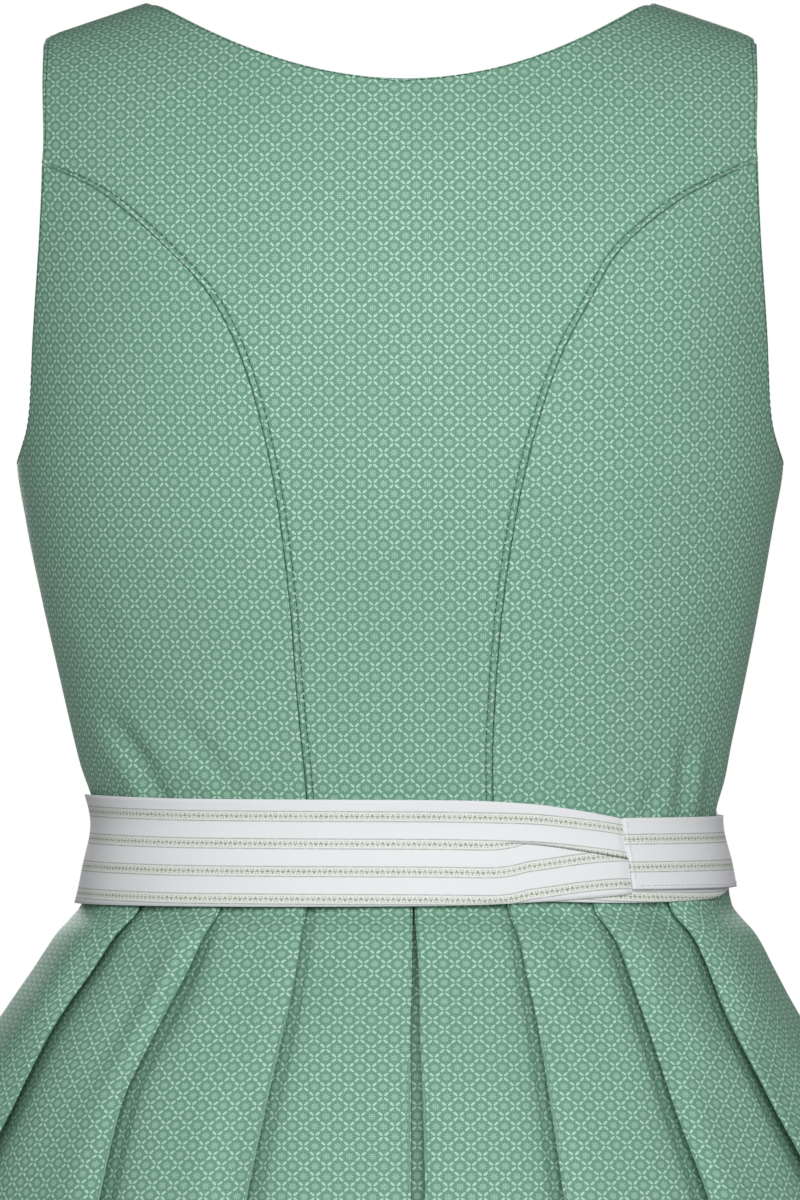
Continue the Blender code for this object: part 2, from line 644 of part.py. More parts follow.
def make_apron():
    read = table_reader(APRON_FALL)
    upper = [height for height in SKIRT_HEIGHTS if APRON_HEM + 60.0 < height < WAISTBAND_FOOT]
    heights = np.array([APRON_HEM] + sorted(upper) + [WAISTBAND_FOOT - 0.5])
    columns = APRON_GATHERS * 5
    share = np.linspace(-1.0, 1.0, columns + 1)
    rows = []
    for height in heights:
        half, wave, offset = read(height)
        outwards = offset + wave * np.sin(share * math.pi * APRON_GATHERS)
        rows.append(hull(180.0 + share * half, height, outwards))
    grid = np.array(rows)
    grid[-1, :, 2] -= SEAM_GAP / 2
    add_cloth("apron_skirt", grid[:, ::-1], CLOTH_WALL, WHITE, offset=0.0)


def knot_frame():
    """The knot's middle, with its directions across and outwards."""
    middle = hull(KNOT_ANGLE, KNOT_HEIGHT, KNOT_OFFSET)
    ahead = hull(KNOT_ANGLE - 1.0, KNOT_HEIGHT, KNOT_OFFSET)
    across = ahead - middle
    across[2] = 0.0
    across /= np.linalg.norm(across)
    outwards = np.array([across[1], -across[0], 0.0])
    if outwards[1] > 0:
        outwards = -outwards
    return middle, across, outwards


def make_knot():
    middle, across, _ = knot_frame()
    bpy.ops.mesh.primitive_cube_add(size=2.0 * MM, location=[c * MM for c in middle])
    knot = bpy.context.object
    knot.name = knot.data.name = "bow_knot"
    for holder in list(knot.users_collection):
        holder.objects.unlink(knot)
    DRESS.objects.link(knot)
    for v in knot.data.vertices:
        v.co = [v.co[k] * KNOT_HALF[k] * KNOT_SWELL for k in range(3)]
    knot.rotation_euler = (0.0, 0.0, math.atan2(across[1], across[0]))
    knot.data.materials.append(WHITE)
    soft = knot.modifiers.new("soft form", "SUBSURF")
    soft.levels = soft.render_levels = 2


def make_loops():
    """Two loops of the tie, each out from the knot and back to it, open above and below."""
    middle, across, outwards = knot_frame()
    up = np.array([0.0, 0.0, 1.0])
    for name, sign, droop in (("bow_loop_left", -1.0, -15.0), ("bow_loop_right", 1.0, -10.0)):
        turn = np.linspace(0.0, 2 * math.pi, 21)
        reach = KNOT_HALF[0] + SEAM_GAP + LOOP_LENGTH * (1 - np.cos(turn)) / 2
        open_out = LOOP_OPEN * np.sin(turn) * (1 - np.cos(turn)) / 2 + 0.9 * np.sign(np.pi - turn)
        open_out = open_out + 1.5
        share = (reach - reach[0]) / LOOP_LENGTH
        rows = []
        for level in (-1.0, -0.33, 0.33, 1.0):
            half = LOOP_AT_KNOT + (LOOP_WIDTH / 2 - LOOP_AT_KNOT) * np.clip(share * 2.2, 0, 1) ** 0.8
            rise = level * half + droop * share**1.5
            line = (middle + np.outer(sign * reach, across)
                    + np.outer(open_out, outwards) + np.outer(rise, up))
            rows.append(line)
        grid = np.array(rows)
        add_cloth(name, grid, CLOTH_WALL, WHITE, offset=0.0)


def make_tails():
    """Two tails of the tie, hanging from the knot and lying on the apron's gathers."""
    middle, _, _ = knot_frame()
    apron_at = table_reader(APRON_FALL)
    for name, side, lean, length, layer in (
            ("bow_tail_left", -1.0, -0.22, 330.0, TAIL_LAYER),
            ("bow_tail_right", 1.0, 0.10, 300.0, 3 * TAIL_LAYER)):
        rows = []
        start = KNOT_HEIGHT - KNOT_HALF[2] - SEAM_GAP
        for share in np.linspace(0.0, 1.0, 11):
            height = start - share * length
            down = min(share / TAIL_FANS_BY, 1.0)
            half = TAIL_AT_KNOT + (TAIL_WIDTH / 2 - TAIL_AT_KNOT) * down**0.8
            centre = side * TAIL_APART + lean * share * length + middle[0]
            out = centre + np.linspace(-half, half, 5)
            sway, wide, _, _ = section_at(height)
            turned = np.clip(np.abs(out - sway) / wide, 0, 1) ** (SQUARENESS / 2)
            angle = 180.0 - np.sign(out - sway) * np.degrees(np.arcsin(turned))
            _, wave, offset = apron_at(height)
            at_knot = KNOT_OFFSET + side * TAIL_LAYER / 2
            clear = (1 - down) * at_knot + down * (offset + wave + layer)
            rows.append(hull(angle, height, clear))
        add_cloth(name, facing_out(np.array(rows)[::-1]), CLOTH_WALL, WHITE, offset=0.0)


# ------------------------------------------------------------------ build
clear_scene()
DRESS = bpy.data.collections.new("dirndl_dress")
bpy.context.scene.collection.children.link(DRESS)
GREEN = finish_material("printed green cotton", (0.16, 0.37, 0.26), 0.9)
WHITE = finish_material("striped white cotton", (0.76, 0.77, 0.80), 0.85)
HORN = finish_material("covered button green", (0.10, 0.27, 0.18), 0.6)
FOLD_PITCH = (level_run(WAIST)[1] - FRONT_BOX) / (FOLDS_PER_SIDE - 1)

make_back_centre()
make_side_panel("side_back_left", BACK_SEAM_LEFT, ARMHOLE_BACK, True, 1.0)
make_side_panel("side_back_right", BACK_SEAM_RIGHT, ARMHOLE_BACK, True, -1.0)
make_side_panel("side_front_left", FRONT_SEAM, ARMHOLE_FRONT, False, 1.0)
make_side_panel("side_front_right", FRONT_SEAM, ARMHOLE_FRONT, False, -1.0)
make_front("front_left", 1.0)
make_buttons(make_front("front_right", -1.0))
make_skirt()
make_bands()
make_apron()
make_knot()
make_loops()
make_tails()
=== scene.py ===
# %% [markdown]
# # A dirndl dress with its tied apron
# A dirndl is sewn from a fitted bodice and a full pleated skirt, and an apron is tied over it.
# Here the dress stands as it does when it is worn, hollow and with no wearer inside. Every
# piece of cloth is one grid of points, so that its print can follow the threads of the cloth.
# The first cell loads the measured model, which fixes where each piece has to be.

# %% Load the frame
import math

import bpy
import numpy as np
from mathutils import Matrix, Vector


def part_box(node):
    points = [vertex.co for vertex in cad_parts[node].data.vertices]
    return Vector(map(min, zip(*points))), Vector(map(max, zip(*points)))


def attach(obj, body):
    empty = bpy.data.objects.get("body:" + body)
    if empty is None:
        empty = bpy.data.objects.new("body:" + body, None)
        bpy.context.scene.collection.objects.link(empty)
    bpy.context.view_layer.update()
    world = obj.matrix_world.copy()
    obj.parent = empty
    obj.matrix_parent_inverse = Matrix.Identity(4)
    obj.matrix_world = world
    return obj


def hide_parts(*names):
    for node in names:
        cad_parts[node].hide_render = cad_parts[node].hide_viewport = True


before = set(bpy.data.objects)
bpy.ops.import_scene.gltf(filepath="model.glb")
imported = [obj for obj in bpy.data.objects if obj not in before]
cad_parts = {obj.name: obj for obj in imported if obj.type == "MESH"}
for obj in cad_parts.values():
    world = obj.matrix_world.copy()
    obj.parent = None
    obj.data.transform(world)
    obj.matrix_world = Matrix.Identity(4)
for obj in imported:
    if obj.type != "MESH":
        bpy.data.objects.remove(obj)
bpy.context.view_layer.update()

MM = 0.001
print("pieces to dress:", len(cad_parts))

# %% [markdown]
# ## Camera
# A dress is best shown from far away through a long lens, so that its back looks flat and
# wide, and not like a barrel. The camera stands behind the dress, level with the small of the
# back. The lens follows from the distance and the height that it has to take in.

# %% Camera
VIEW_DISTANCE, VIEW_HEIGHT, VIEW_MIDDLE, FARTHEST = 6.0, 0.516, -0.257, 60.0   # metres
SENSOR = 36.0                                                                  # mm
camera = bpy.data.objects.new("camera", bpy.data.cameras.new("camera"))
bpy.context.scene.collection.objects.link(camera)
camera.data.sensor_width = SENSOR
camera.data.lens = SENSOR * VIEW_DISTANCE / VIEW_HEIGHT
camera.data.clip_end = FARTHEST
camera.location = (0.0, VIEW_DISTANCE, VIEW_MIDDLE)
camera.rotation_euler = (math.pi / 2, 0.0, math.pi)
bpy.context.scene.camera = camera
print(f"lens {camera.data.lens:.0f} mm")

# %% [markdown]
# ## The filled-out form
# A tailor knows a body by its girths. This table does the same: at each height it gives how
# far the cloth stands out to the side, to the back and to the front. Between its rows a
# smooth curve is read that never swings past them. All sizes are in millimetres, from the
# point midway between the shoulders, with the front of the dress towards -Y.

# %% Girths of the dress
WAIST, UNDERARM, SKIRT_HEM, APRON_HEM = -352.0, -198.0, -1052.0, -1002.0
SQUARENESS = 2.25
SECTIONS = (
    # height, lean, half_width, back_depth, front_depth
    (40.0, 0.0, 195.0, 108.0, 84.0), (-60.0, 0.0, 182.0, 112.0, 92.0),
    (-110.0, 0.0, 172.5, 114.0, 104.0), (-160.0, 0.0, 166.0, 114.0, 114.0),
    (-198.0, 0.0, 165.0, 112.0, 119.0), (-223.0, 0.0, 161.0, 109.0, 121.0),
    (-257.0, -0.5, 154.6, 103.0, 117.0), (-291.0, -1.1, 147.3, 96.0, 112.0),
    (-326.0, -1.5, 139.5, 89.5, 108.0), (-352.0, -2.4, 133.0, 86.0, 106.0),
    (-370.0, -2.6, 136.7, 89.2, 108.2), (-388.0, -2.8, 140.4, 92.4, 110.4),
    (-400.0, -2.6, 151.2, 105.0, 117.0), (-416.0, -1.6, 161.0, 116.0, 122.5),
    (-429.0, -0.6, 169.0, 124.0, 127.0), (-445.0, 0.0, 178.6, 133.0, 132.5),
    (-470.0, 0.0, 192.0, 145.0, 141.0), (-514.0, 0.0, 211.0, 162.0, 155.0),
    (-600.0, 0.0, 237.0, 188.0, 176.0), (-700.0, 0.0, 256.0, 208.0, 194.0),
    (-850.0, 0.0, 278.0, 232.0, 215.0), (-1052.0, 0.0, 300.0, 255.0, 236.0),
)


def table_reader(rows):
    """Smooth reading of a table by its first column; it never swings past its rows."""
    data = np.array(sorted(rows), dtype=float)
    at, values = data[:, 0], data[:, 1:]
    slope = np.diff(values, axis=0) / np.diff(at)[:, None]
    tangent = np.zeros_like(values)
    tangent[0], tangent[-1] = slope[0], slope[-1]
    before, after = slope[:-1], slope[1:]
    same_way = before * after > 0
    total = np.where(same_way, before + after, 1.0)
    tangent[1:-1] = np.where(same_way, 2 * before * after / total, 0.0)

    def read(where):
        where = np.clip(np.asarray(where, dtype=float), at[0], at[-1])
        k = np.clip(np.searchsorted(at, where) - 1, 0, len(at) - 2)
        width = (at[k + 1] - at[k])[..., None]
        t = (where - at[k])[..., None] / width
        return (
            (2 * t**3 - 3 * t**2 + 1) * values[k] + (t**3 - 2 * t**2 + t) * width * tangent[k]
            + (3 * t**2 - 2 * t**3) * values[k + 1] + (t**3 - t**2) * width * tangent[k + 1])

    return read


section_at = table_reader(SECTIONS)
print("half waist", round(float(section_at(WAIST)[1]), 1), "mm")

# %% [markdown]
# ## Points of the form
# Each level section is a slightly squared oval. Below the armholes a point of it is found by
# its angle from the centre back. The front seams add fullness over the bust: two soft hills
# that are laid on the plain form. Above the armholes the back and the front lean together
# and meet on the shoulder ridge, which slopes down from the neck.

# %% Points of the form
RIDGE_TOP, RIDGE_SLOPE, RIDGE_EASE = 39.1, 0.345, 30.0
BACK_FALL, FRONT_FALL = (3.2, 2.2), (2.4, 2.0)
BUST_REACH, BUST_OUT, BUST_HEIGHT, BUST_SPREAD = 14.0, 88.0, -225.0, (46.0, 48.0)
POWER = 2.0 / SQUARENESS
CHART_ROUNDS = 12              # of closing in on a charted point's height


def ridge_height(x):
    return RIDGE_TOP - RIDGE_SLOPE * np.sqrt(x**2 + RIDGE_EASE**2)


def bust(x, height):
    up = (height - BUST_HEIGHT) / BUST_SPREAD[1]
    across = sum(np.exp(-0.5 * ((x - side * BUST_OUT) / BUST_SPREAD[0]) ** 2) for side in (-1, 1))
    return BUST_REACH * across * np.exp(-0.5 * up**2)


def hull(angle, height, offset=0.0):
    """Points on the dress below the armholes, at angles in degrees from the centre back."""
    angle, height, offset = np.broadcast_arrays(np.radians(angle), height, offset)
    lean, half, back, front = np.moveaxis(section_at(height), -1, 0)
    side = np.sign(np.sin(angle)) * np.abs(np.sin(angle)) ** POWER
    deep = np.sign(np.cos(angle)) * np.abs(np.cos(angle)) ** POWER
    x, depth = half * side, np.where(deep > 0, back, front)
    y = depth * deep - np.where(deep < 0, bust(x, height) * np.abs(deep), 0.0)
    out_x, out_y = np.sin(angle) / half, np.cos(angle) / depth
    length = np.hypot(out_x, out_y)
    return np.stack([x + lean + offset * out_x / length, y + offset * out_y / length, height], -1)


def to_chart(out, height):
    """Chart a bodice point: q, its share of a quarter turn, and m, its run up the body."""
    lean, half, _, _ = np.moveaxis(section_at(height), -1, 0)
    x = out - lean
    q = np.sign(x) * np.arcsin(np.clip(np.abs(x) / half, 0, 1) ** (1 / POWER)) / (math.pi / 2)
    reach = ridge_height(out) - UNDERARM
    rise = np.clip((height - UNDERARM) / reach, 0.0, 1.0)
    m = np.where(height > UNDERARM, UNDERARM + reach * np.arcsin(rise), height)
    return np.stack([q, m], -1)


def from_chart(chart, is_back):
    """Place charted bodice points on the body's back or front."""
    q, m = chart[..., 0], chart[..., 1]
    side = np.sign(q) * np.sin(np.abs(q) * math.pi / 2) ** POWER
    deep = np.abs(np.cos(q * math.pi / 2)) ** POWER
    height = np.array(m)
    for _ in range(CHART_ROUNDS):
        lean, half, back, front = np.moveaxis(section_at(height), -1, 0)
        x = lean + half * side
        reach = ridge_height(x) - UNDERARM
        turn = np.clip((m - UNDERARM) / reach, 0.0, math.pi / 2)
        height = np.where(m > UNDERARM, UNDERARM + reach * np.sin(turn), m)
    rise = np.clip(np.where(m > UNDERARM, np.sin(turn), 0.0), 0.0, 1.0)
    bend, ease = BACK_FALL if is_back else FRONT_FALL
    fall = (1.0 - rise**bend) ** (1.0 / ease)
    y = (back if is_back else front) * deep * fall
    if not is_back:
        y = -(y + bust(x, height) * deep * fall)
    return np.stack([x, y, height], axis=-1)


print("top of the shoulder ridge", round(float(ridge_height(0.0)), 1), "mm")

# %% [markdown]
# ## Flattening the cloth
# Printed cloth keeps its pattern's size wherever it lies, so every point of a panel needs to
# know where it was on the flat cloth. The helper below lays a fine net over the back and the
# front, adds up the lengths along it, and reads how far each point is from the centre line
# and from the waist. Those two lengths become the point's texture coordinates, in metres.

# %% Flat coordinates of the bodice
NET_TOP, NET_ROWS, NET_COLUMNS = 160.0, 150, 161


def run_along(points, axis=0):
    """How far each point of a path, or of each line of a grid, is along it from its start."""
    steps = np.linalg.norm(np.diff(points, axis=axis), axis=-1)
    return np.insert(np.cumsum(steps, axis=axis), 0, 0.0, axis=axis)


def make_flattener(is_back):
    q, m = np.linspace(-1.0, 1.0, NET_COLUMNS), np.linspace(WAIST, NET_TOP, NET_ROWS)
    net = from_chart(np.stack(np.meshgrid(q, m), -1), is_back)
    across, up = run_along(net, 1), run_along(net)
    across -= across[:, [NET_COLUMNS // 2]]

    def place(values, low, high, count):
        steps = count - 1
        return np.clip((values - low) / (high - low) * steps, 0, steps - 0.001)

    def flat(chart):
        a = place(chart[..., 0], -1.0, 1.0, NET_COLUMNS)
        b = place(chart[..., 1], WAIST, NET_TOP, NET_ROWS)
        i, j = a.astype(int), b.astype(int)
        s, t = a - i, b - j
        read = [(1 - t) * ((1 - s) * f[j, i] + s * f[j, i + 1])
                + t * ((1 - s) * f[j + 1, i] + s * f[j + 1, i + 1]) for f in (across, up)]
        return np.stack(read, -1)

    return flat


flat_back, flat_front = make_flattener(True), make_flattener(False)
print("back, waist to ridge:", flat_back(to_chart(np.zeros(1), ridge_height(np.zeros(1))))[0].round(0))

# %% [markdown]
# ## Writing patterns as ordinary maths
# A print that repeats can be painted, scanned or calculated. Calculating it from the cloth's
# flat coordinates keeps it sharp at any distance and needs no picture. Blender does that with
# small maths nodes. This helper lets them be written like ordinary sums.

# %% Numbers inside a material
class Number:
    """A number that varies over the cloth, kept as a socket of a material's node tree."""

    def __init__(self, tree, socket):
        self.tree, self.socket = tree, socket

    def made(self, operation, *others):
        node = self.tree.nodes.new("ShaderNodeMath")
        node.operation = operation
        for plug, value in zip(node.inputs, (self, *others)):
            if isinstance(value, Number):
                self.tree.links.new(value.socket, plug)
            else:
                plug.default_value = value
        return Number(self.tree, node.outputs[0])

    def __add__(self, other):
        return self.made("ADD", other)

    def __sub__(self, other):
        return self.made("SUBTRACT", other)

    def __mul__(self, other):
        return self.made("MULTIPLY", other)

    def fade(self, start, end):
        """0 up to start and 1 from end on, with a soft step between them; it may run down."""
        node = self.tree.nodes.new("ShaderNodeMapRange")
        node.interpolation_type = "SMOOTHSTEP"
        low, high = min(start, end), max(start, end)
        for k, value in enumerate((low, high, float(start > end), float(start < end)), 1):
            node.inputs[k].default_value = value
        self.tree.links.new(self.socket, node.inputs[0])
        return Number(self.tree, node.outputs[0])

    def larger(self, other):
        return self.made("MAXIMUM", other)


print("a number can be added, subtracted, multiplied, faded and compared")

# %% [markdown]
# ## What every finish is made of
# A finish on real cloth is its colour, its dullness, a little fuzz and the height of its
# threads. The helpers below read the flat coordinates, mix two colours by a number, lay a
# noise through the cloth and turn a height into bump, so that each finish after them is short.

# %% Parts of a finish
def cloth_coordinates(tree, cells):
    """Both flat coordinates of the cloth, counted in cells of that many metres."""
    node = tree.nodes.new("ShaderNodeUVMap")
    node.uv_map = "cloth"
    parts = tree.nodes.new("ShaderNodeSeparateXYZ")
    tree.links.new(node.outputs[0], parts.inputs[0])
    return [Number(tree, parts.outputs[k]) * (1.0 / cells[k]) for k in (0, 1)]


def mix_colours(tree, share, first, second):
    node = tree.nodes.new("ShaderNodeMix")
    node.data_type = "RGBA"
    tree.links.new(share.socket, node.inputs[0])
    for plug, colour in ((node.inputs[6], first), (node.inputs[7], second)):
        if isinstance(colour, tuple):
            plug.default_value = (*colour, 1.0)
        else:
            tree.links.new(colour, plug)
    return node.outputs[2]


def texture_number(tree, kind, scale):
    """A texture of that kind laid through the whole dress; returns its node and its number."""
    place = tree.nodes.new("ShaderNodeTexCoord")
    node = tree.nodes.new(kind)
    node.inputs["Scale"].default_value = scale
    tree.links.new(place.outputs["Object"], node.inputs["Vector"])
    return node, Number(tree, node.outputs["Fac"])


def noise_number(tree, scale, detail=2.0):
    node, number = texture_number(tree, "ShaderNodeTexNoise", scale)
    node.inputs["Detail"].default_value = detail
    return number


def scaled(colour, share):
    """A colour made darker, or paler when the share is over 1."""
    return tuple(min(1.0, share * c) for c in colour)


COTTON_SHINE, SHEEN_ROUGHNESS = 0.12, 0.55


def new_finish(name, roughness, sheen=0.0):
    """A material with its main shader set; returns it with its tree and that shader."""
    material = bpy.data.materials.new(name)
    material.use_nodes = True
    tree = material.node_tree
    shader = tree.nodes["Principled BSDF"]
    shader.inputs["Roughness"].default_value = roughness
    shader.inputs["Specular IOR Level"].default_value = COTTON_SHINE
    shader.inputs["Sheen Weight"].default_value = sheen
    shader.inputs["Sheen Roughness"].default_value = SHEEN_ROUGHNESS
    return material, tree, shader


def raise_cloth(tree, shader, height, depth):
    """Let a number raise the surface by up to that depth in metres, as bump."""
    bump = tree.nodes.new("ShaderNodeBump")
    bump.inputs["Strength"].default_value = 1.0
    bump.inputs["Distance"].default_value = depth
    tree.links.new(height.socket, bump.inputs["Height"])
    tree.links.new(bump.outputs[0], shader.inputs["Normal"])


def linear(red, green, blue):
    """A screen colour from 0 to 255 as the linear light that shaders work with."""
    return tuple(round(((c / 255 + 0.055) / 1.055) ** 2.4, 4) for c in (red, green, blue))


print("a mid green in linear light:", linear(112, 163, 138))

# %% [markdown]
# ## The printed green cotton
# The print is a chequerboard of small cells. Every second cell holds a floret of eight petals
# on a darker round, and the cells between hold four pale leaves that point at each other and
# make diagonal chains. Inside a cell the floret is drawn by angle and radius, and the leaves
# by how far a point is along and beside the diagonal. The thread of the weave is only bump.

# %% Printed cotton
CELL = (0.00461, 0.00437)      # across and along the cloth, in metres
GROUND, ROUND_PATCH = linear(116, 164, 140), linear(110, 159, 134)
PETALS, LEAVES = linear(180, 216, 197), linear(195, 228, 212)
PETAL_COUNT, PETAL_REACH, PETAL_SWING = 8.0, 0.285, 0.085      # in cells, as the next two
LEAF_AT, LEAF_HALF_LENGTH, LEAF_SLIM = 0.38, 0.265, 0.0135     # the last is its half width squared
DIAGONAL = 0.7071
WEAVE_PITCH, WEAVE_DEPTH = 0.0005, 0.00003                     # metres


def woven_height(tree):
    """Over and under of a plain weave: two sets of ridges that cross."""
    across, along = cloth_coordinates(tree, (WEAVE_PITCH / (2 * math.pi),) * 2)
    return across.made("SINE") * along.made("SINE") * 0.5 + 0.5


def printed_cotton(name, ground, patch, petals, leaves):
    material, tree, shader = new_finish(name, 0.55)
    across, along = cloth_coordinates(tree, CELL)
    column, row = across.made("FLOOR"), along.made("FLOOR")
    odd = (column + row).made("MODULO", 2.0).made("ABSOLUTE")
    even = odd * -1.0 + 1.0
    x, y = across - column - 0.5, along - row - 0.5
    radius = (x * x + y * y).made("SQRT")
    lobes = (y.made("ARCTAN2", x) * PETAL_COUNT).made("COSINE")
    petal_edge = lobes * PETAL_SWING + PETAL_REACH
    floret = (radius - petal_edge).fade(0.035, -0.035)
    parted = (lobes * radius.fade(0.03, 0.13)).fade(-0.6, 0.4) * 0.9 + 0.1
    floret = floret * parted * even
    round_patch = radius.fade(0.52, 0.42) * even
    flat_x, flat_y = x.made("ABSOLUTE"), y.made("ABSOLUTE")
    from_middle, beside = (flat_x + flat_y) * DIAGONAL, (flat_x - flat_y) * DIAGONAL
    reach = (from_middle - LEAF_AT) * (1.0 / LEAF_HALF_LENGTH)
    leaf = (reach * reach + (beside * beside) * (1.0 / LEAF_SLIM)).fade(1.2, 0.7) * odd
    mottle, thread = noise_number(tree, 26.0, 3.0), noise_number(tree, 1300.0, 1.0)
    colour = mix_colours(tree, round_patch, ground, patch)
    colour = mix_colours(tree, floret * 0.92, colour, petals)
    colour = mix_colours(tree, leaf * 0.95, colour, leaves)
    colour = mix_colours(tree, mottle.fade(0.35, 0.75) * 0.10, colour, scaled(ground, 0.9))
    colour = mix_colours(tree, thread.fade(0.3, 0.7) * 0.22, colour, scaled(ground, 0.6))
    tree.links.new(colour, shader.inputs["Base Color"])
    raise_cloth(tree, shader, woven_height(tree) + mottle * 0.4, WEAVE_DEPTH)
    return material


def plain_reverse(name, colour):
    """The wrong side of a cloth, where the print only shows through faintly."""
    material, tree, shader = new_finish(name, 0.85, 0.1)
    mixed = mix_colours(tree, noise_number(tree, 180.0), colour, scaled(colour, 1.12))
    tree.links.new(mixed, shader.inputs["Base Color"])
    raise_cloth(tree, shader, woven_height(tree), WEAVE_DEPTH)
    return material


GREEN_COTTON = printed_cotton("printed green cotton", GROUND, ROUND_PATCH, PETALS, LEAVES)
GREEN_REVERSE = plain_reverse("reverse of the green cotton", linear(128, 172, 150))
print("cells in a metre of cloth:", round(1 / CELL[0]))

# %% [markdown]
# ## The striped apron cotton
# The apron is white, with narrow woven bands that run along its length. Each band has a fine
# line down both edges and small leaf clusters between them, turned up and down in turn. The
# flat coordinate across the cloth counts the bands, and the one along it counts the leaves.

# %% Striped cotton
WHITE, SAGE, LINE = linear(236, 237, 240), linear(154, 167, 142), linear(160, 170, 162)
BETWEEN_LINES = linear(229, 233, 222)
BAND_PITCH, LINE_OUT, LEAF_PITCH = 11.7, 2.1, 2.2      # mm on the cloth
LINE_SOFT, BAND_DEPTH = (0.36, 0.10), 0.00005
DOT_PLACE, DOT_SOFT = (0.55, 0.92), (0.16, 0.05)


def striped_cotton(name):
    material, tree, shader = new_finish(name, 0.82, 0.08)
    count, place = cloth_coordinates(tree, (LEAF_PITCH * MM, BAND_PITCH * MM))
    place = place + 0.5
    beside = (place - place.made("FLOOR") - 0.5) * BAND_PITCH
    near = beside.made("ABSOLUTE")
    edge_line = (near - LINE_OUT).made("ABSOLUTE").fade(*LINE_SOFT)
    step = count.made("FLOOR")
    turned = step.made("MODULO", 2.0).made("ABSOLUTE") * 2.0 - 1.0
    x = ((count - step - 0.5) * LEAF_PITCH).made("ABSOLUTE")
    y = beside * turned
    body = (x + y * 0.75 - 0.86).fade(0.12, -0.12) * (y + 0.32).fade(-0.14, 0.10)
    dot_x, dot_y = x - DOT_PLACE[0], y + DOT_PLACE[1]
    dots = (dot_x * dot_x + dot_y * dot_y).fade(*DOT_SOFT)
    leaf = body.larger(dots * 0.7)
    mottle = noise_number(tree, 60.0, 3.0)
    worn = noise_number(tree, 420.0, 1.0).fade(0.25, 0.65) * 0.35 + 0.65
    inside = near.fade(LINE_OUT + 0.15, LINE_OUT - 0.15)
    colour = mix_colours(tree, inside * 0.6, WHITE, BETWEEN_LINES)
    colour = mix_colours(tree, leaf * worn, colour, SAGE)
    colour = mix_colours(tree, edge_line * worn * 0.9, colour, LINE)
    colour = mix_colours(tree, mottle.fade(0.3, 0.8) * 0.12, colour, scaled(WHITE, 0.92))
    tree.links.new(colour, shader.inputs["Base Color"])
    relief = woven_height(tree) * 0.5 + leaf * 0.8 + edge_line * 0.6 + mottle * 0.5
    raise_cloth(tree, shader, relief, BAND_DEPTH)
    return material


STRIPED = striped_cotton("striped white cotton")
STRIPED_REVERSE = plain_reverse("reverse of the white cotton", linear(226, 226, 230))
print("bands across a metre of cloth:", round(1000 / BAND_PITCH))

# %% [markdown]
# ## Sewing thread
# Sewing thread is two or three strands twisted together, so light and dark run round it at a
# slant. A wave texture with diagonal bands gives that twist in the bump, and paints the shade in
# the grooves between the strands into the colour as darker slanting bands.

# %% Thread
THREAD_DEPTH, TWIST_SCALE = 0.00004, 900.0


def thread_finish(name, colour):
    material, tree, shader = new_finish(name, 0.6, 0.2)
    twist, turns = texture_number(tree, "ShaderNodeTexWave", TWIST_SCALE)
    twist.bands_direction = "DIAGONAL"
    # painted shade: the twist's bands darken the colour where the grooves between the strands lie in
    # shade
    mixed = mix_colours(tree, turns, colour, scaled(colour, 0.7))
    tree.links.new(mixed, shader.inputs["Base Color"])
    raise_cloth(tree, shader, turns, THREAD_DEPTH)
    return material


GREEN_THREAD = thread_finish("green sewing thread", linear(46, 98, 76))
WHITE_THREAD = thread_finish("white sewing thread", linear(234, 234, 238))
print("finishes so far:", len(bpy.data.materials))

# %% [markdown]
# ## Cloth from a grid of points
# A piece of cloth could be modelled by pulling at a plane, but a dress is better cut: its
# edges are drawn first and the cloth is filled in between. The builder below takes a grid of
# points with their flat coordinates, gives it a thin wall with Blender's Solidify modifier,
# and paints the wrong side with its own finish. It also hangs the piece from the frame's root,
# hides the measured solid of the same name and prints how large the cloth was before it was sewn.

# %% Grid to cloth
def unit(vectors):
    return vectors / np.maximum(np.linalg.norm(vectors, axis=-1), 1e-9)[..., None]


def inside_out(points):
    """Whether a grid's rows and columns turn its faces towards the middle of the dress."""
    normals = np.cross(np.gradient(points, axis=1), np.gradient(points, axis=0))
    return (normals[..., :2] * points[..., :2]).sum() < 0


def outward(points):
    """Normals of a grid of points, turned away from the middle of the dress."""
    normals = unit(np.cross(np.gradient(points, axis=1), np.gradient(points, axis=0)))
    return -normals if inside_out(points) else normals


def flat_grid(first, second):
    """Flat coordinates of a grid; either may be given for one row or one column alone."""
    return np.stack(np.broadcast_arrays(first, second), -1)


def flat_size(flat):
    """Width, length and area in metres of the flat cloth under a grid."""
    a, b = flat[1:, 1:] - flat[:-1, :-1], flat[1:, :-1] - flat[:-1, 1:]
    area = 0.5 * np.abs(a[..., 0] * b[..., 1] - a[..., 1] * b[..., 0]).sum() * MM * MM
    width, length = (flat.reshape(-1, 2).max(0) - flat.reshape(-1, 2).min(0)) * MM
    return float(width), float(length), float(area)


def grid_mesh(name, points, flat):
    rows, columns = points.shape[:2]
    corner = (np.arange(rows - 1)[:, None] * columns + np.arange(columns - 1)).ravel()
    loop = (0, columns, columns + 1, 1) if inside_out(points) else (0, 1, columns + 1, columns)
    faces = corner[:, None] + np.array(loop)
    mesh = bpy.data.meshes.new(name)
    mesh.from_pydata((points.reshape(-1, 3) * MM).tolist(), [], faces.tolist())
    layer = mesh.uv_layers.new(name="cloth")
    layer.data.foreach_set("uv", (flat.reshape(-1, 2)[faces.ravel()] * MM).ravel())
    mesh.shade_smooth()
    return mesh


def into_scene(name, mesh, slot, *finishes):
    made = bpy.data.objects.new(name, mesh)
    bpy.context.scene.collection.objects.link(made)
    for finish in finishes:
        mesh.materials.append(finish)
    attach(made, "root")
    return made


GREEN, STRIPY = "printed_green_cotton", "striped_white_cotton"
FINISHES = {GREEN: (GREEN_COTTON, GREEN_REVERSE), STRIPY: (STRIPED, STRIPED_REVERSE)}


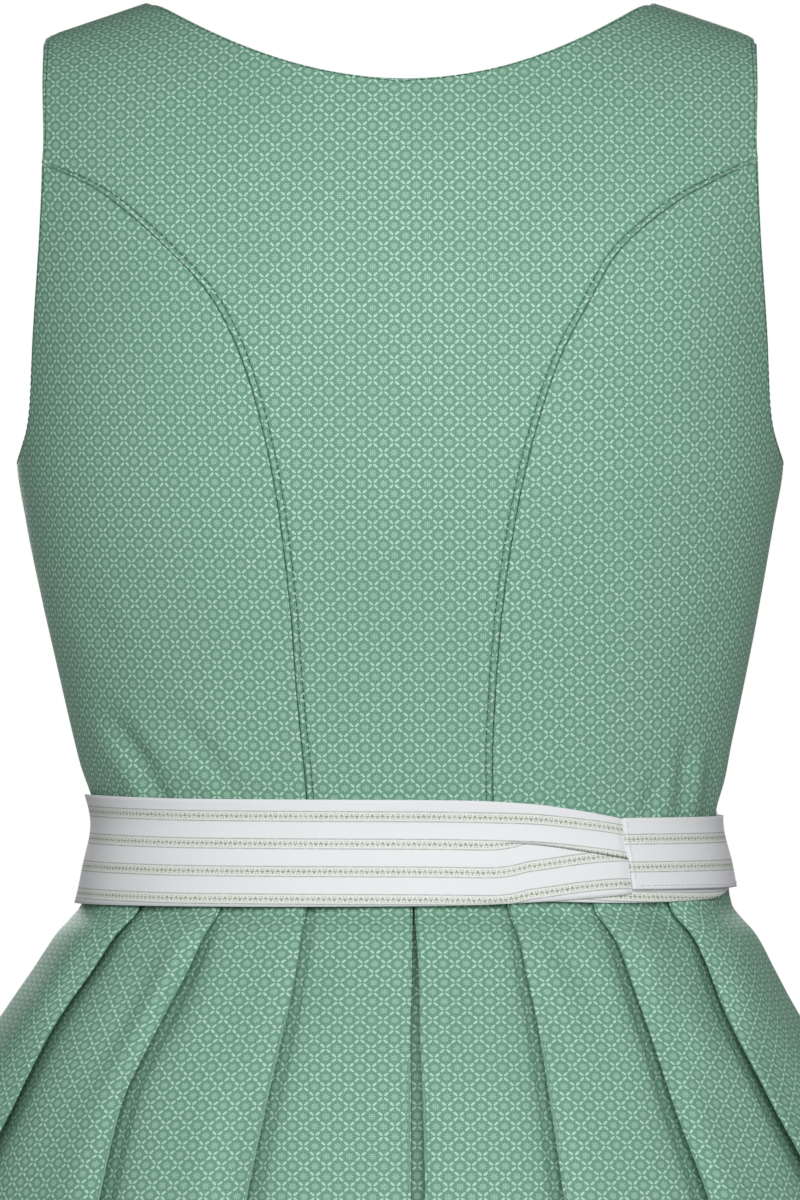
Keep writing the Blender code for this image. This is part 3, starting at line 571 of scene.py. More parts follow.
def add_cloth(name, points, flat, wall, slot, offset=0.0, print_ease=1.0):
    made = into_scene(name, grid_mesh(name, points, flat * print_ease), slot, *FINISHES[slot])
    thick = made.modifiers.new("cloth wall", "SOLIDIFY")
    thick.thickness, thick.offset, thick.material_offset = wall * MM, offset, 1
    width, length, area = flat_size(flat)
    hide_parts(name)
    print(f"{name}: {points.shape[0]} x {points.shape[1]} points,",
          f"cut {width * 1000:.0f} x {length * 1000:.0f} mm, {area:.3f} m2")


# %% [markdown]
# ## Rows of stitches
# A line of machine stitches could be a texture, but seen from near it is a row of short
# threads that dip into the cloth at both ends. Each stitch here is a thin five-sided tube
# over five rings, and all the stitches of the bodice are joined into one mesh.

# %% Stitches along a path
STITCH, STITCH_GAP, STITCH_START, SIDES = 2.6, 0.5, 0.6, 5
RINGS = (
    # share of the stitch, lift, thickness of the thread
    (0.0, -0.10, 0.12), (0.18, 0.14, 0.2), (0.5, 0.20, 0.2), (0.82, 0.14, 0.2), (1.0, -0.10, 0.12),
)


def sew(name, paths, finish, slot):
    """Rows of stitches along paths, each a pair of points and normals."""
    corners, faces = [], []
    turn = np.arange(SIDES)[:, None] * 2 * math.pi / SIDES
    for points, normals in paths:
        run = run_along(points)

        def at(where, values):
            return np.array([np.interp(where, run, values[:, c]) for c in range(3)])

        for start in np.arange(STITCH_START, run[-1] - STITCH, STITCH + STITCH_GAP):
            along = unit(at(start + STITCH, points) - at(start, points))
            first = len(corners) * SIDES
            for share, lift, thick in RINGS:
                up = unit(at(start + share * STITCH, normals))
                side = np.cross(along, up)
                middle = at(start + share * STITCH, points) + up * lift
                corners.append(middle + thick * (np.cos(turn) * side + np.sin(turn) * up))
            last = first + SIDES * (len(RINGS) - 1)
            for ring in range(first, last, SIDES):
                for k in range(SIDES):
                    a, b = ring + k, ring + (k + 1) % SIDES
                    faces.append((a, a + SIDES, b + SIDES, b))
            faces.append(tuple(range(first, first + SIDES)))
            faces.append(tuple(range(last + SIDES - 1, last - 1, -1)))
    mesh = bpy.data.meshes.new(name)
    mesh.from_pydata((np.concatenate(corners) * MM).tolist(), [], faces)
    mesh.shade_smooth()
    into_scene(name, mesh, slot, finish)
    print(f"{name}: {len(corners) // len(RINGS)} stitches")


# %% [markdown]
# ## Edges of the bodice panels
# The lines that a cutter would draw: the curved seams of the back, the front seams, the
# armholes and the front neck. Each is a short table of how far out it lies at which height,
# with a smooth curve through its rows. Two pieces that are sewn together stop a little short
# of the line, one on each side, so that the seam shows as a fine dark valley.

# %% Seam and armhole lines
SEAM_GAP = 0.1
BACK_SEAM_LEFT = (
    # out, height
    (39.0, -352.0), (40.3, -333.0), (44.0, -295.0), (47.0, -256.0), (53.7, -206.0),
    (64.7, -162.0), (79.5, -130.0), (100.2, -107.0), (122.6, -87.3), (137.3, -78.0),
    (152.9, -71.0),
)
BACK_SEAM_RIGHT = (
    # out, height
    (39.6, -352.0), (39.7, -311.0), (44.0, -256.0), (52.9, -203.4), (65.9, -159.5),
    (80.7, -130.0), (93.9, -108.0), (115.0, -90.0), (131.0, -80.3), (152.8, -69.4),
)
FRONT_SEAM = (
    # out, height
    (48.0, -352.0), (54.0, -320.0), (64.0, -290.0), (79.0, -255.0), (87.0, -225.0),
    (92.0, -195.0), (103.0, -165.0), (118.0, -140.0), (134.0, -120.0), (147.0, -107.0),
)
ARMHOLE_BACK = (
    # out, height
    (152.5, -14.0), (153.0, -36.0), (152.4, -60.0), (153.4, -86.0), (155.0, -114.0),
    (157.0, -145.0), (158.0, -170.0), (159.4, -182.0), (162.0, -190.5), (165.0, -198.0),
)
ARMHOLE_FRONT = (
    # out, height
    (152.5, -14.0), (149.0, -45.0), (146.5, -80.0), (147.0, -107.0), (149.5, -140.0),
    (153.0, -165.0), (158.0, -184.0), (161.5, -192.0), (165.0, -198.0),
)
NECK_FRONT = (
    # out, height
    (-10.0, -156.0), (34.0, -154.0), (64.0, -145.0), (82.0, -124.0), (90.0, -92.0),
    (99.0, -48.0), (107.0, 0.0),
)
NECK_OUT, NECK_BACK_DIP, NECK_BACK_ASIDE, LAP, SIDE_SEAM = 107.0, -35.8, 0.02, 10.0, 0.99999
print("back seam, seen from behind:", round(float(run_along(np.array(BACK_SEAM_LEFT))[-1])), "mm")

# %% [markdown]
# ## From a table to an edge
# A cutter joins the marks on the paper with a French curve. Here a spline runs through the
# rows of a table and is read at shares of its length. A seam's two sides lie a little aside of
# it, and the armhole's table is parted at the corner where a seam meets it. A centre panel's
# outer edge follows its seam, then the armhole, and in the end the shoulder ridge.

# %% Edges from tables
PATH_PIECES, RIDGE_SHARE, NEAR_CORNER = 12, 0.9991, 4.0


def rounded(path, pieces):
    """A smooth curve through the points of a path, in that many pieces from point to point."""
    p = np.vstack([2 * path[0] - path[1], path, 2 * path[-1] - path[-2]])
    made = [0.5 * (2 * p[1:-2] + (p[2:-1] - p[:-3]) * t
                   + (2 * p[:-3] - 5 * p[1:-2] + 4 * p[2:-1] - p[3:]) * t**2
                   + (3 * p[1:-2] - p[:-3] - 3 * p[2:-1] + p[3:]) * t**3)
            for t in np.arange(pieces) / pieces]
    return np.vstack([np.stack(made, 1).reshape(-1, p.shape[1]), path[-1:]])


def smooth_path(points, shares):
    """A smooth curve through the points, read at shares of its length."""
    curve = rounded(np.array(points, dtype=float), PATH_PIECES)
    run = run_along(curve)
    where = np.asarray(shares) * run[-1]
    return np.column_stack([np.interp(where, run, curve[:, c]) for c in range(2)])


def moved_aside(path, distance):
    along = unit(np.gradient(path, axis=0))
    return path + distance * np.column_stack([-along[:, 1], along[:, 0]])


def armhole_part(table, corner, upper):
    """The armhole's rows above or below the corner where a seam meets it, from the corner."""
    rows = [row for row in table
            if abs(row[1] - corner[1]) > NEAR_CORNER and (row[1] > corner[1]) == upper]
    return [tuple(corner)] + (rows[::-1] if upper else rows)


def ridge_path(outs):
    """Charted points just short of the shoulder ridge, where the shoulder seam lies."""
    chart = to_chart(outs, ridge_height(outs))
    chart[:, 1] = UNDERARM + (chart[:, 1] - UNDERARM) * RIDGE_SHARE
    return chart


# Rows up a centre panel are counted in steps of its seam (0 to 13), then of its armhole
# (13 to 17) and of its shoulder (17 to 21). A front's lap takes the first 8.
SEAM_STEPS, ARMHOLE_STEPS, SHOULDER_STEPS, LAP_STEPS = 13.0, 17.0, 21.0, 8.0
SEAM_POINTS, ARMHOLE_POINTS, LAP_POINTS, NECK_POINTS = (
    np.linspace(0.0, 1.0, count) for count in (131, 41, 41, 61))


def two_paths(first, second, join, end, rows):
    """Read two paths that follow on, where the counts of rows reach the join and the end."""
    path = np.vstack([first, second[1:]])
    steps = np.concatenate([np.linspace(0, join, len(first)),
                            np.linspace(join, end, len(second))[1:]])
    return [np.interp(rows, steps, path[:, c]) for c in (0, 1)]


def centre_edge(seam, armhole, sign, rows):
    """A centre panel's outer edge up its seam and then its armhole, charted."""
    up_seam = moved_aside(smooth_path(seam, SEAM_POINTS), SEAM_GAP / 2)
    up_arm = smooth_path(armhole_part(armhole, up_seam[-1], True), ARMHOLE_POINTS)
    out, height = two_paths(up_seam, up_arm, SEAM_STEPS, ARMHOLE_STEPS, rows)
    chart = to_chart(sign * out, height)
    chart[0, 1] = WAIST + SEAM_GAP
    return chart


print("a front seam has", round(run_along(smooth_path(FRONT_SEAM, SEAM_POINTS))[-1]), "mm of stitches")

# %% [markdown]
# ## Relief of seams and edges
# Where two panels join, the allowances lie under one of them and are stitched down, so that
# panel swells into a soft welt beside the seam and dips along the stitches. A folded edge
# rolls over and dips along its own stitches. Each of these is a profile: how far the cloth
# stands out at which distance from its edge. The grid's columns crowd at both edges at those
# distances, so the profiles come out crisp without a fine mesh in between.

# %% Relief profiles
WELT = ((0.0, -0.6), (0.35, 0.1), (0.8, 0.6), (1.4, 0.9), (1.9, 0.85), (2.4, 0.45), (3.05, -0.5),
        (3.35, -0.5), (4.1, 0.0), (5.0, 0.0))
PLAIN = ((0.0, -0.6), (0.35, -0.2), (1.1, 0.0))
ROLLED = ((0.0, -0.6), (0.3, -0.2), (0.8, 0.08), (1.5, -0.08), (1.9, -0.14), (2.5, 0.0))
NEAR = np.array([0.0, 0.35, 0.8, 1.4, 1.9, 2.4, 2.75, 3.05, 3.35, 3.7, 4.1, 5.0, 6.5])
SHALLOWEST, SMOOTHINGS = 0.4, 60


def smoothed(values):
    """Even out a row of numbers by mixing each with its neighbours, again and again."""
    for _ in range(SMOOTHINGS):
        beside = np.pad(values, 1, mode="edge")
        values = (beside[:-2] + 2 * values + beside[2:]) / 4
    return values


def row_shares(first_edge, last_edge, columns):
    """Where each row's points lie between its two edges, crowded near both of them."""
    row = last_edge - first_edge
    width = np.linalg.norm(row, axis=1)
    shares, distances = [], []
    for edge in (first_edge, last_edge):
        along = unit(np.gradient(edge, axis=0))
        cross = np.abs(along[:, 0] * row[:, 1] - along[:, 1] * row[:, 0]) / width
        cross = smoothed(np.clip(cross, SHALLOWEST, 1.0))
        distances.append(cross * width)
        shares.append(NEAR / distances[-1][:, None])
    near, far = shares[0], 1.0 - shares[1][:, ::-1]
    middle = np.linspace(0, 1, columns + 2)[1:-1]
    between = near[:, -1:] + (far[:, :1] - near[:, -1:]) * middle
    share = np.hstack([near, between, far])
    return share, share * distances[0][:, None], (1 - share) * distances[1][:, None]


def profile(distance, kind):
    where, height = np.array(kind).T
    return np.interp(distance, where, height)


def ruled(left, right, share):
    return (1 - share[..., None]) * left[:, None] + share[..., None] * right[:, None]


print("deepest welt dip:", min(h for _, h in WELT), "mm")

# %% [markdown]
# ## Soft pulls in the cloth
# Even a fitted bodice isn't quite smooth: where it narrows to the waist the cloth is pulled
# into short slanting hollows, and all over it lies a little slack. Cloth could be simulated
# for this, but a few listed hollows say exactly where it is pulled.

# %% Pulls and corners
CORNER, SLACK = 2.6, 0.12
BODICE_FOLDS = {True: (
    # out, height of both ends, depth, half width: soft pulls towards the waist
    (125.0, -305.0, 99.0, -342.0, 2.6, 4.8), (97.0, -303.0, 68.0, -342.0, 1.5, 4.4),
    (112.0, -331.0, 92.0, -351.0, 1.1, 3.2), (-122.4, -314.0, -119.5, -352.0, 2.2, 3.2),
    (-134.0, -320.0, -131.0, -352.0, 2.0, 3.0), (-110.0, -330.0, -104.0, -352.0, 1.3, 3.4),
    (140.0, -250.0, 118.0, -283.0, 0.6, 6.0), (-141.0, -256.0, -122.0, -290.0, 0.6, 6.0),
), False: (
    (118.0, -296.0, 98.0, -340.0, 1.4, 4.2), (90.0, -300.0, 62.0, -342.0, 1.1, 4.6),
    (-121.0, -300.0, -103.0, -344.0, 1.3, 4.0), (-86.0, -304.0, -64.0, -345.0, 1.1, 4.4),
    (134.0, -214.0, 108.0, -222.0, 0.9, 5.0), (-135.0, -216.0, -110.0, -226.0, 0.8, 5.0),
)}


def pulled(points, folds):
    """How far soft folds push the cloth in, each a trough with a low ridge above it."""
    depth = np.zeros(points.shape[:2])
    for x, z, end_x, end_z, deep, width in folds:
        span = np.array([end_x - x, end_z - z])
        length = np.hypot(*span)
        from_end = points[..., [0, 2]] - (x, z)
        share = from_end @ span / length**2
        aside = (from_end[..., 0] * span[1] - from_end[..., 1] * span[0]) / length / width
        taper = np.sin(math.pi * np.clip(share * 0.8 + 0.1, 0, 1)) ** 1.5
        shape = np.exp(-aside**2) - 0.5 * np.exp(-((np.abs(aside) - 1.7) ** 2))
        depth += deep * taper * shape
    slack = np.sin(points[..., 0] / 23.0 + points[..., 2] / 31.0) * np.sin(points[..., 2] / 19.0)
    return depth + SLACK * slack


def round_corners(points):
    """The sewn shoulder turns over softly at the armhole and at the neck."""
    out = np.abs(points[..., 0])
    past = np.maximum(out - ARMHOLE_BACK[0][0], NECK_OUT - out) / CORNER + 1.0
    drop = CORNER * (1.0 - np.sqrt(1.0 - np.clip(past, 0.0, 1.0) ** 2))
    points[..., 2] -= drop * np.exp((points[..., 2] - ridge_height(out)) / CORNER)


print("hollows in the back and the front:", len(BODICE_FOLDS[True]), len(BODICE_FOLDS[False]))

# %% [markdown]
# ## Finishing a panel
# Every panel of the bodice is finished in the same way. It is laid on the form, its edges are
# rolled or raised by their profiles, the pulls are pressed in, and its threads are slanted as
# they are when a panel is cut at a slight angle. The rows crowd where a curve is tight.

# %% One panel
BODICE_CLOTH, SHOULDER_CLEAR = 1.1, 0.01
SLANTS = {False: (1.0, -3.0), True: (5.5, 0.0)}   # of the threads in the side panels, degrees
PANELS, TOP_DISTANCES, SEAM_ROWS, ARMHOLE_ROWS = {}, {}, {}, {}


def crowded_rows(*parts):
    """Row counts in several stretches, each with its end, number of rows and crowding."""
    rows = [np.zeros(1)]
    for end, count, crowd in parts:
        start, t = rows[-1][-1], np.linspace(0, 1, count + 1)[1:]
        rows.append(start + (end - start) * (1 - (1 - t) ** crowd))
    return np.concatenate(rows)


def edge_kinds(rows, lower, upper, last):
    """For each row, the profile of its edge: along a seam, an armhole or a shoulder."""
    return [lower if k <= SEAM_STEPS else upper if k < ARMHOLE_STEPS else last for k in rows]


def row_profiles(distance, kinds):
    return np.array([profile(d, kind) for d, kind in zip(distance, kinds)])


def top_distance(flat):
    """How far each point is from the top of its column, on the flat cloth."""
    return np.linalg.norm(flat - flat[-1], axis=-1)


def finish_panel(name, chart, relief, is_back, mirror=False, slants=(0.0, 0.0), shift=None):
    points = from_chart(chart, is_back)
    round_corners(points)
    flat = (flat_back if is_back else flat_front)(chart)
    TOP_DISTANCES[name] = top_distance(flat)
    clear = SHOULDER_CLEAR if is_back else -SHOULDER_CLEAR
    points[..., 1] = (np.maximum if is_back else np.minimum)(points[..., 1], clear)
    if shift is not None:
        shift(points)
    if mirror:
        points[..., 0] = 2 * section_at(points[..., 2])[..., 0] - points[..., 0]
    relief = relief - pulled(points, BODICE_FOLDS[is_back])
    points = points + relief[..., None] * outward(points)
    u, v = flat[..., 0], flat[..., 1]
    across, along = np.tan(np.radians(slants))
    flat = np.stack([u + v * along, v - u * across], -1)
    if mirror:
        flat[..., 0] *= -1
    PANELS[name] = points
    add_cloth(name, points, flat, BODICE_CLOTH, GREEN, offset=-1.0)


print("rows that crowd towards 1:", crowded_rows((1.0, 5, 1.25)).round(2))

# %% [markdown]
# ## The centre back
# The centre back is one wide panel from waist to shoulders. Its rows are straight up to the
# top of the shaped seams and then bend into the curve of the neck, so that the last row is the
# neck's edge and both shoulders' edges belong to the panel's sides.

# %% Centre back
rows = crowded_rows((SEAM_STEPS, 96, 1), (ARMHOLE_STEPS, 26, 1), (SHOULDER_STEPS, 16, 2))
edges = []
for seam, sign in ((BACK_SEAM_LEFT, 1.0), (BACK_SEAM_RIGHT, -1.0)):
    body = centre_edge(seam, ARMHOLE_BACK, sign, rows[rows < ARMHOLE_STEPS])
    above = (rows[rows >= ARMHOLE_STEPS] - ARMHOLE_STEPS) / (SHOULDER_STEPS - ARMHOLE_STEPS)
    first, last = sign * ARMHOLE_BACK[0][0], sign * NECK_OUT
    edges.append(np.vstack([body, ridge_path(first + (last - first) * above)]))
left, right = edges
share, from_left, from_right = row_shares(flat_back(left), flat_back(right), 84)
part = 1 - 2 * share[-1]
aside = part + NECK_BACK_ASIDE * (1 - part**2)
neck = to_chart(NECK_OUT * part,
                NECK_BACK_DIP + (ridge_height(NECK_OUT) - NECK_BACK_DIP) * aside**2)
neck[0], neck[-1] = left[-1], right[-1]
chart = ruled(left, right, share)
bend = right[:, 1] - right[rows == SEAM_STEPS][0, 1]
bend = np.where(rows > SEAM_STEPS, np.clip(bend / bend[-1], 0, 1), 0.0)
chart = chart + bend[:, None, None] * (neck - chart[-1])[None]
kinds = edge_kinds(rows, WELT, ROLLED, PLAIN)
relief = (row_profiles(from_left, kinds) + row_profiles(from_right, kinds)
          + profile(top_distance(flat_back(chart)), ROLLED))
finish_panel("back_centre", chart, relief, True)
SEAM_ROWS["back_centre"] = int((rows <= SEAM_STEPS).sum())
ARMHOLE_ROWS["back_centre"] = int((rows <= ARMHOLE_STEPS).sum())

# %% [markdown]
# ## The side panels
# Four side panels fill the space from the shaped seams round to the side seams, and their top
# is the lower part of the armhole. One helper cuts all four, because the right ones are the
# left ones turned over.

# %% Side panels
def side_panel(name, seam, armhole, is_back, mirror):
    """A panel from its shaped seam round to the side seam, with the lower armhole on top."""
    rows = crowded_rows((1.0, 110, 1.25))
    inner = moved_aside(smooth_path(seam, rows), -SEAM_GAP / 2)
    lower = armhole_part(armhole, inner[-1], False)
    inner = to_chart(-inner[:, 0] if mirror else inner[:, 0], inner[:, 1])
    inner[:, 0] = np.abs(inner[:, 0])
    inner[0, 1] = WAIST + SEAM_GAP
    heights = WAIST + SEAM_GAP + (UNDERARM - WAIST - SEAM_GAP) * rows
    outer = np.column_stack([np.full_like(rows, SIDE_SEAM), heights])
    unroll = flat_back if is_back else flat_front
    share, from_inner, from_outer = row_shares(unroll(inner), unroll(outer), 34)
    top = to_chart(*smooth_path(lower, share[-1]).T)
    top[:, 0] = np.minimum(top[:, 0], SIDE_SEAM)
    top[0], top[-1] = inner[-1], (SIDE_SEAM, UNDERARM)
    chart = ruled(inner, outer, share)
    chart = chart + rows[:, None, None] * (top - chart[-1])[None]
    relief = (profile(from_inner, PLAIN) + profile(from_outer, PLAIN)
              + profile(top_distance(unroll(chart)), ROLLED))
    finish_panel(name, chart, relief, is_back, mirror, SLANTS[mirror])


side_panel("side_back_left", BACK_SEAM_LEFT, ARMHOLE_BACK, True, False)
side_panel("side_back_right", BACK_SEAM_RIGHT, ARMHOLE_BACK, True, True)
for side, mirror in (("left", False), ("right", True)):
    side_panel(f"side_front_{side}", FRONT_SEAM, ARMHOLE_FRONT, False, mirror)
print("panels so far:", len(PANELS))

# %% [markdown]
# ## The fronts
# The inner edge of each front runs up the lap and then round the neck to the shoulder. The
# right front laps over the left one, as it does on women's clothes, so the left one sinks in a
# little along the middle to lie under it.

# %% Fronts
LAP_FLAT, LAP_EASE, LAP_UNDER = 24.0, 26.0, 2.6


def front_panel(name, sign):
    rows = crowded_rows((LAP_STEPS, 60, 1), (SEAM_STEPS, 44, 1), (ARMHOLE_STEPS, 30, 1.3))
    outer = centre_edge(FRONT_SEAM, ARMHOLE_FRONT, sign, rows)
    lap_foot, lap_top = WAIST + SEAM_GAP, NECK_FRONT[0][1]
    lap = np.column_stack([np.full_like(LAP_POINTS, -LAP), lap_foot + (lap_top - lap_foot) * LAP_POINTS])
    out, height = two_paths(lap, smooth_path(NECK_FRONT, NECK_POINTS), LAP_STEPS, ARMHOLE_STEPS, rows)
    inner = to_chart(sign * out, height)
    share, from_inner, from_outer = row_shares(flat_front(inner), flat_front(outer), 60)
    chart = ruled(inner, outer, share)
    first, last = sign * NECK_OUT, sign * ARMHOLE_FRONT[0][0]
    chart[-1] = ridge_path(first + (last - first) * share[-1])
    kinds = edge_kinds(rows, WELT, ROLLED, ROLLED)
    relief = (profile(from_inner, ROLLED) + row_profiles(from_outer, kinds)
              + profile(top_distance(flat_front(chart)), PLAIN))

    def sink(points):
        ease = np.clip((LAP_FLAT + LAP_EASE - points[..., 0]) / LAP_EASE, 0.0, 1.0)
        points[..., 1] += LAP_UNDER * ease**2 * (3 - 2 * ease)

    finish_panel(name, chart, relief, False, shift=sink if sign > 0 else None)
    SEAM_ROWS[name] = int((rows <= SEAM_STEPS).sum())


for side, sign in (("left", 1.0), ("right", -1.0)):
    front_panel(f"front_{side}", sign)
print("bodice panels:", len(PANELS))

# %% [markdown]
# ## Stitches of the bodice
# The seams are stitched down 3 mm from the join, and the armholes and the neck are stitched
# near their edge. Because the grids crowd their columns at known distances from an edge, a
# row of stitches can simply run between two of them. Along the top of a panel, where the rows
# aren't crowded in that way, each column is read at the stitches' distance from its top.

# %% Stitches of the bodice
EDGE_STITCH, TOP_ROWS, BESIDE_SEAM, BESIDE_EDGE = 1.7, 12, (7, 8), (3, 4)


def column_path(name, columns, first, last, sign=1):
    """The path midway between two columns of a panel, counted from either edge."""
    points = PANELS[name]
    pair = [c if sign > 0 else points.shape[1] - 1 - c for c in columns]
    normals = outward(points)
    return points[first:last, pair].mean(1), unit(normals[first:last, pair].mean(1))


def below_top(name, first, last):
    """The path at the edge stitch's distance below a panel's top."""
    points, normals, far = PANELS[name], outward(PANELS[name]), TOP_DISTANCES[name]
    found = []
    for c in range(points.shape[1])[first:last]:
        above = np.interp(-EDGE_STITCH, -far[-TOP_ROWS:, c], np.arange(TOP_ROWS))
        row = len(far) - TOP_ROWS + above
        low = min(int(row), len(far) - 2)
        share = row - low
        found.append([(1 - share) * g[low, c] + share * g[low + 1, c] for g in (points, normals)])
    return tuple(np.array(found).swapaxes(0, 1))


paths = [below_top("back_centre", 6, -6)]
paths += [below_top(name, 1, -1) for name in PANELS if name.startswith("side")]
for name, sides in (("back_centre", (1, -1)), ("front_left", (-1,)), ("front_right", (-1,))):
    seam, end = SEAM_ROWS[name], ARMHOLE_ROWS.get(name, -1)
    for sign in sides:
        paths.append(column_path(name, BESIDE_SEAM, 0, seam - 1, sign))
        paths.append(column_path(name, BESIDE_EDGE, seam + 1, end, sign))
    if name != "back_centre":
        paths.append(column_path(name, BESIDE_EDGE, 1, -1))
sew("bodice_stitches", paths, GREEN_THREAD, GREEN)

# %% [markdown]
# ## The pleated skirt
# The skirt is one long cloth laid in knife pleats round the waist. Seen from above, a pleat is
# a zigzag: the face runs out to a fold, doubles back under it and comes out again as the next
# face. The amount tucked under a fold shrinks as the skirt widens, so lower down each pleat
# opens into a soft wave. A cloth simulation could find such folds, but pressed pleats lie where
# somebody laid them. So the zigzag is laid along the oval of every level section. Tables say how
# deep it is, how its face falls and where the folds that matter most are.

# %% Pleat tables
FOLDS_PER_SIDE, FRONT_BOX, UNDERLAP, OPEN_TUCK, DEEPEST_WAVE = 9, 42.0, 39.0, 12.0, 0.7
FACE_FALL = (
    # share of the face, how deep a flat pleat lies there, how deep a rolled one; 2.0 is its valley
    (0.0, 0.10, 0.14), (0.14, -0.02, -0.06), (0.34, 0.03, 0.14), (0.66, 0.12, 0.26),
    (0.88, 0.34, 0.42), (1.0, 0.74, 0.76), (2.0, 1.0, 1.0),
)
ROLLED = (0.0, 0.15, 0.8, 1.0)
SIDE_PRESSED, SIDE_SPAN, SLIT_DEPTH, SEEN_SHARE, STEEP_SHARE = 0.6, 0.13, 0.85, 0.97, 0.35
CENTRE_POINTS, PLEAT_POINTS, JOIN_PLEAT, JOIN_POINT = 8, 12, 4, 2
FOLDS_PLACED, HALVINGS = 4, 50
PLEAT_FALL = (
    # height, depth, layer
    (-352.0, 6.0, 1.45), (-388.0, 8.0, 1.7), (-400.0, 10.6, 2.0), (-429.0, 11.0, 2.2),
    (-514.0, 13.0, 2.2), (-600.0, 15.0, 2.3), (-850.0, 19.0, 2.5), (-1052.0, 21.0, 2.7),
)
SLIT = (
    # height, left_edge, right_edge: run of the inverted pleat's two edges, each to its own side
    (-352.0, -1.0, 4.0), (-388.0, -1.4, 4.4), (-400.0, -1.6, 5.4), (-429.0, -3.2, 8.4),
    (-470.0, -3.7, 10.4), (-514.0, -3.7, 11.4), (-1052.0, -5.0, 15.0),
)
FOLD_PLACES = (
    # height, then folds 1 to 4 of the left and 1 to 4 of the right, in even pleat widths
    (-388.0, 1.01, 1.89, 2.83, 4.75, 1.02, 1.90, 2.785, 4.75),
    (-410.0, 0.93, 1.87, 2.86, 4.7, 1.035, 1.94, 2.79, 4.7),
    (-436.0, 0.895, 1.90, 2.92, 4.65, 1.063, 1.948, 2.75, 4.65),
    (-467.0, 0.92, 1.965, 2.93, 4.6, 1.04, 1.93, 2.78, 4.6),
    (-514.0, 0.96, 1.92, 3.02, 4.5, 1.022, 1.98, 2.91, 4.5),
    (-700.0, 1.03, 1.97, 3.05, 4.4, 0.98, 2.04, 2.95, 4.4),
    (-1052.0, 1.04, 1.96, 3.04, 4.3, 0.96, 2.03, 2.97, 4.3),
)
pleat_at, slit_at, fold_places = map(table_reader, (PLEAT_FALL, SLIT, FOLD_PLACES))
print("depth of a pleat at the hem:", pleat_at(SKIRT_HEM)[0], "mm")

# %% [markdown]
# ## Along a level section
# Pleats are laid out along the waist with a tape measure, not by angle. So a level section of
# the form is unrolled here: a point of it is found by its run from the centre back, and by how
# far it stands out. The folds that no table places are spaced evenly up to the front.

# %% Places of the folds
def level_run(height):
    """Read the level section by its run, in mm from the centre back, positive to the left."""
    points = hull(np.linspace(0.0, 180.0, 361), height)[:, :2]
    lean = section_at(height)[0]
    points[:, 0] -= lean
    run = run_along(points)
    along = np.gradient(points, run, axis=0)

    def read(where, outwards):
        near = np.abs(where)
        x, y = (np.interp(near, run, points[:, c]) for c in (0, 1))
        ax, ay = (np.interp(near, run, along[:, c]) for c in (0, 1))
        size = np.hypot(ax, ay)
        x, y = x - outwards * ay / size, y + outwards * ax / size
        return np.stack([lean + np.where(where < 0, -x, x), y], axis=-1)

    return read, run[-1]


FOLD_PITCH = (level_run(WAIST)[1] - FRONT_BOX) / (FOLDS_PER_SIDE - 1)


def fold_runs(height, half_run, side):
    """How far round the section each fold lies, from the centre back to the front panel."""
    step = (half_run - FRONT_BOX) / (FOLDS_PER_SIDE - 1)
    placed = fold_places(height)[FOLDS_PLACED * side:][:FOLDS_PLACED]
    rest = np.linspace(placed[-1], FOLDS_PER_SIDE - 1, FOLDS_PER_SIDE - len(placed))
    turn = pleat_at(height)[1] / 2
    return [slit_at(height)[side] + turn, *(step * placed + turn), *(step * rest[1:] + turn)]


print("an even pleat at the waist:", round(FOLD_PITCH, 1), "mm")

# %% [markdown]
# ## One pleat
# The cloth of a pleat is the same from waist to hem, so how far it laps under the next fold
# follows from how wide and how deep the pleat is there. While a lot is tucked under, the turn is
# pressed tight; when little is left, the turn opens and the whole pleat becomes a wave.

# %% One pleat
def zero_to_one(value):
    return min(max(value, 0.0), 1.0)


def tucked_length(pitch, depth, cloth):
    """Cloth lapped under a fold when a pleat of this much cloth spans the pitch."""
    low, high = -pitch, cloth
    for _ in range(HALVINGS):
        middle = 0.5 * (low + high)
        used = math.hypot(pitch + middle, depth) + math.hypot(middle, depth)
        low, high = (middle, high) if used < cloth else (low, middle)
    return middle


def fold_points(reach, tuck, depth, layer):
    """The valley, the way back and the turn up to the next fold, as (run, inwards) pairs."""
    turn, end = layer / 2, reach - tuck
    pressed = ((reach + turn, depth - turn), (reach, depth - layer), (reach - tuck / 2, depth / 2),
               (end, layer), (end - turn, turn))
    opened = [(reach - share * tuck, depth * (1 - share)) for share in (0.1, 0.3, 0.5, 0.7, 0.9)]
    closed = zero_to_one(tuck / OPEN_TUCK)
    return [(closed * p[0] + (1 - closed) * o[0], closed * p[1] + (1 - closed) * o[1])
            for p, o in zip(pressed, opened)]


def pleat_points(start, pitch, tuck, depth, layer, rolled):
    """One pleat: its face down to the valley under the next fold, then up to that fold."""
    reach = pitch + tuck
    seen = SEEN_SHARE * min(pitch / reach, 1.0)
    closed = zero_to_one(tuck / OPEN_TUCK)
    steep = zero_to_one((pitch - tuck) / (STEEP_SHARE * pitch))
    points = []
    for part, flat, roll in FACE_FALL:
        sunk = (1 - rolled) * flat + rolled * roll
        share = part * seen if part < 1.5 else 1.0
        rounded = 0.5 - 0.5 * math.cos(math.pi * share)
        sunk = steep * sunk + (1 - steep) * share
        points.append((start + share * reach, depth * (closed * sunk + (1 - closed) * rounded)))
    return points + fold_points(start + reach, tuck, depth, layer)


print("points in a pleat:", len(pleat_points(0.0, FOLD_PITCH, UNDERLAP, *pleat_at(WAIST), 0.0)))

# %% [markdown]
# ## One side of the skirt
# From the centre back a side begins with its half of the slit, an inverted pleat whose two
# edges meet. Then the knife pleats follow, pressed a little flatter at the side where the
# apron's tie holds them, and a plain panel at the front ends it.

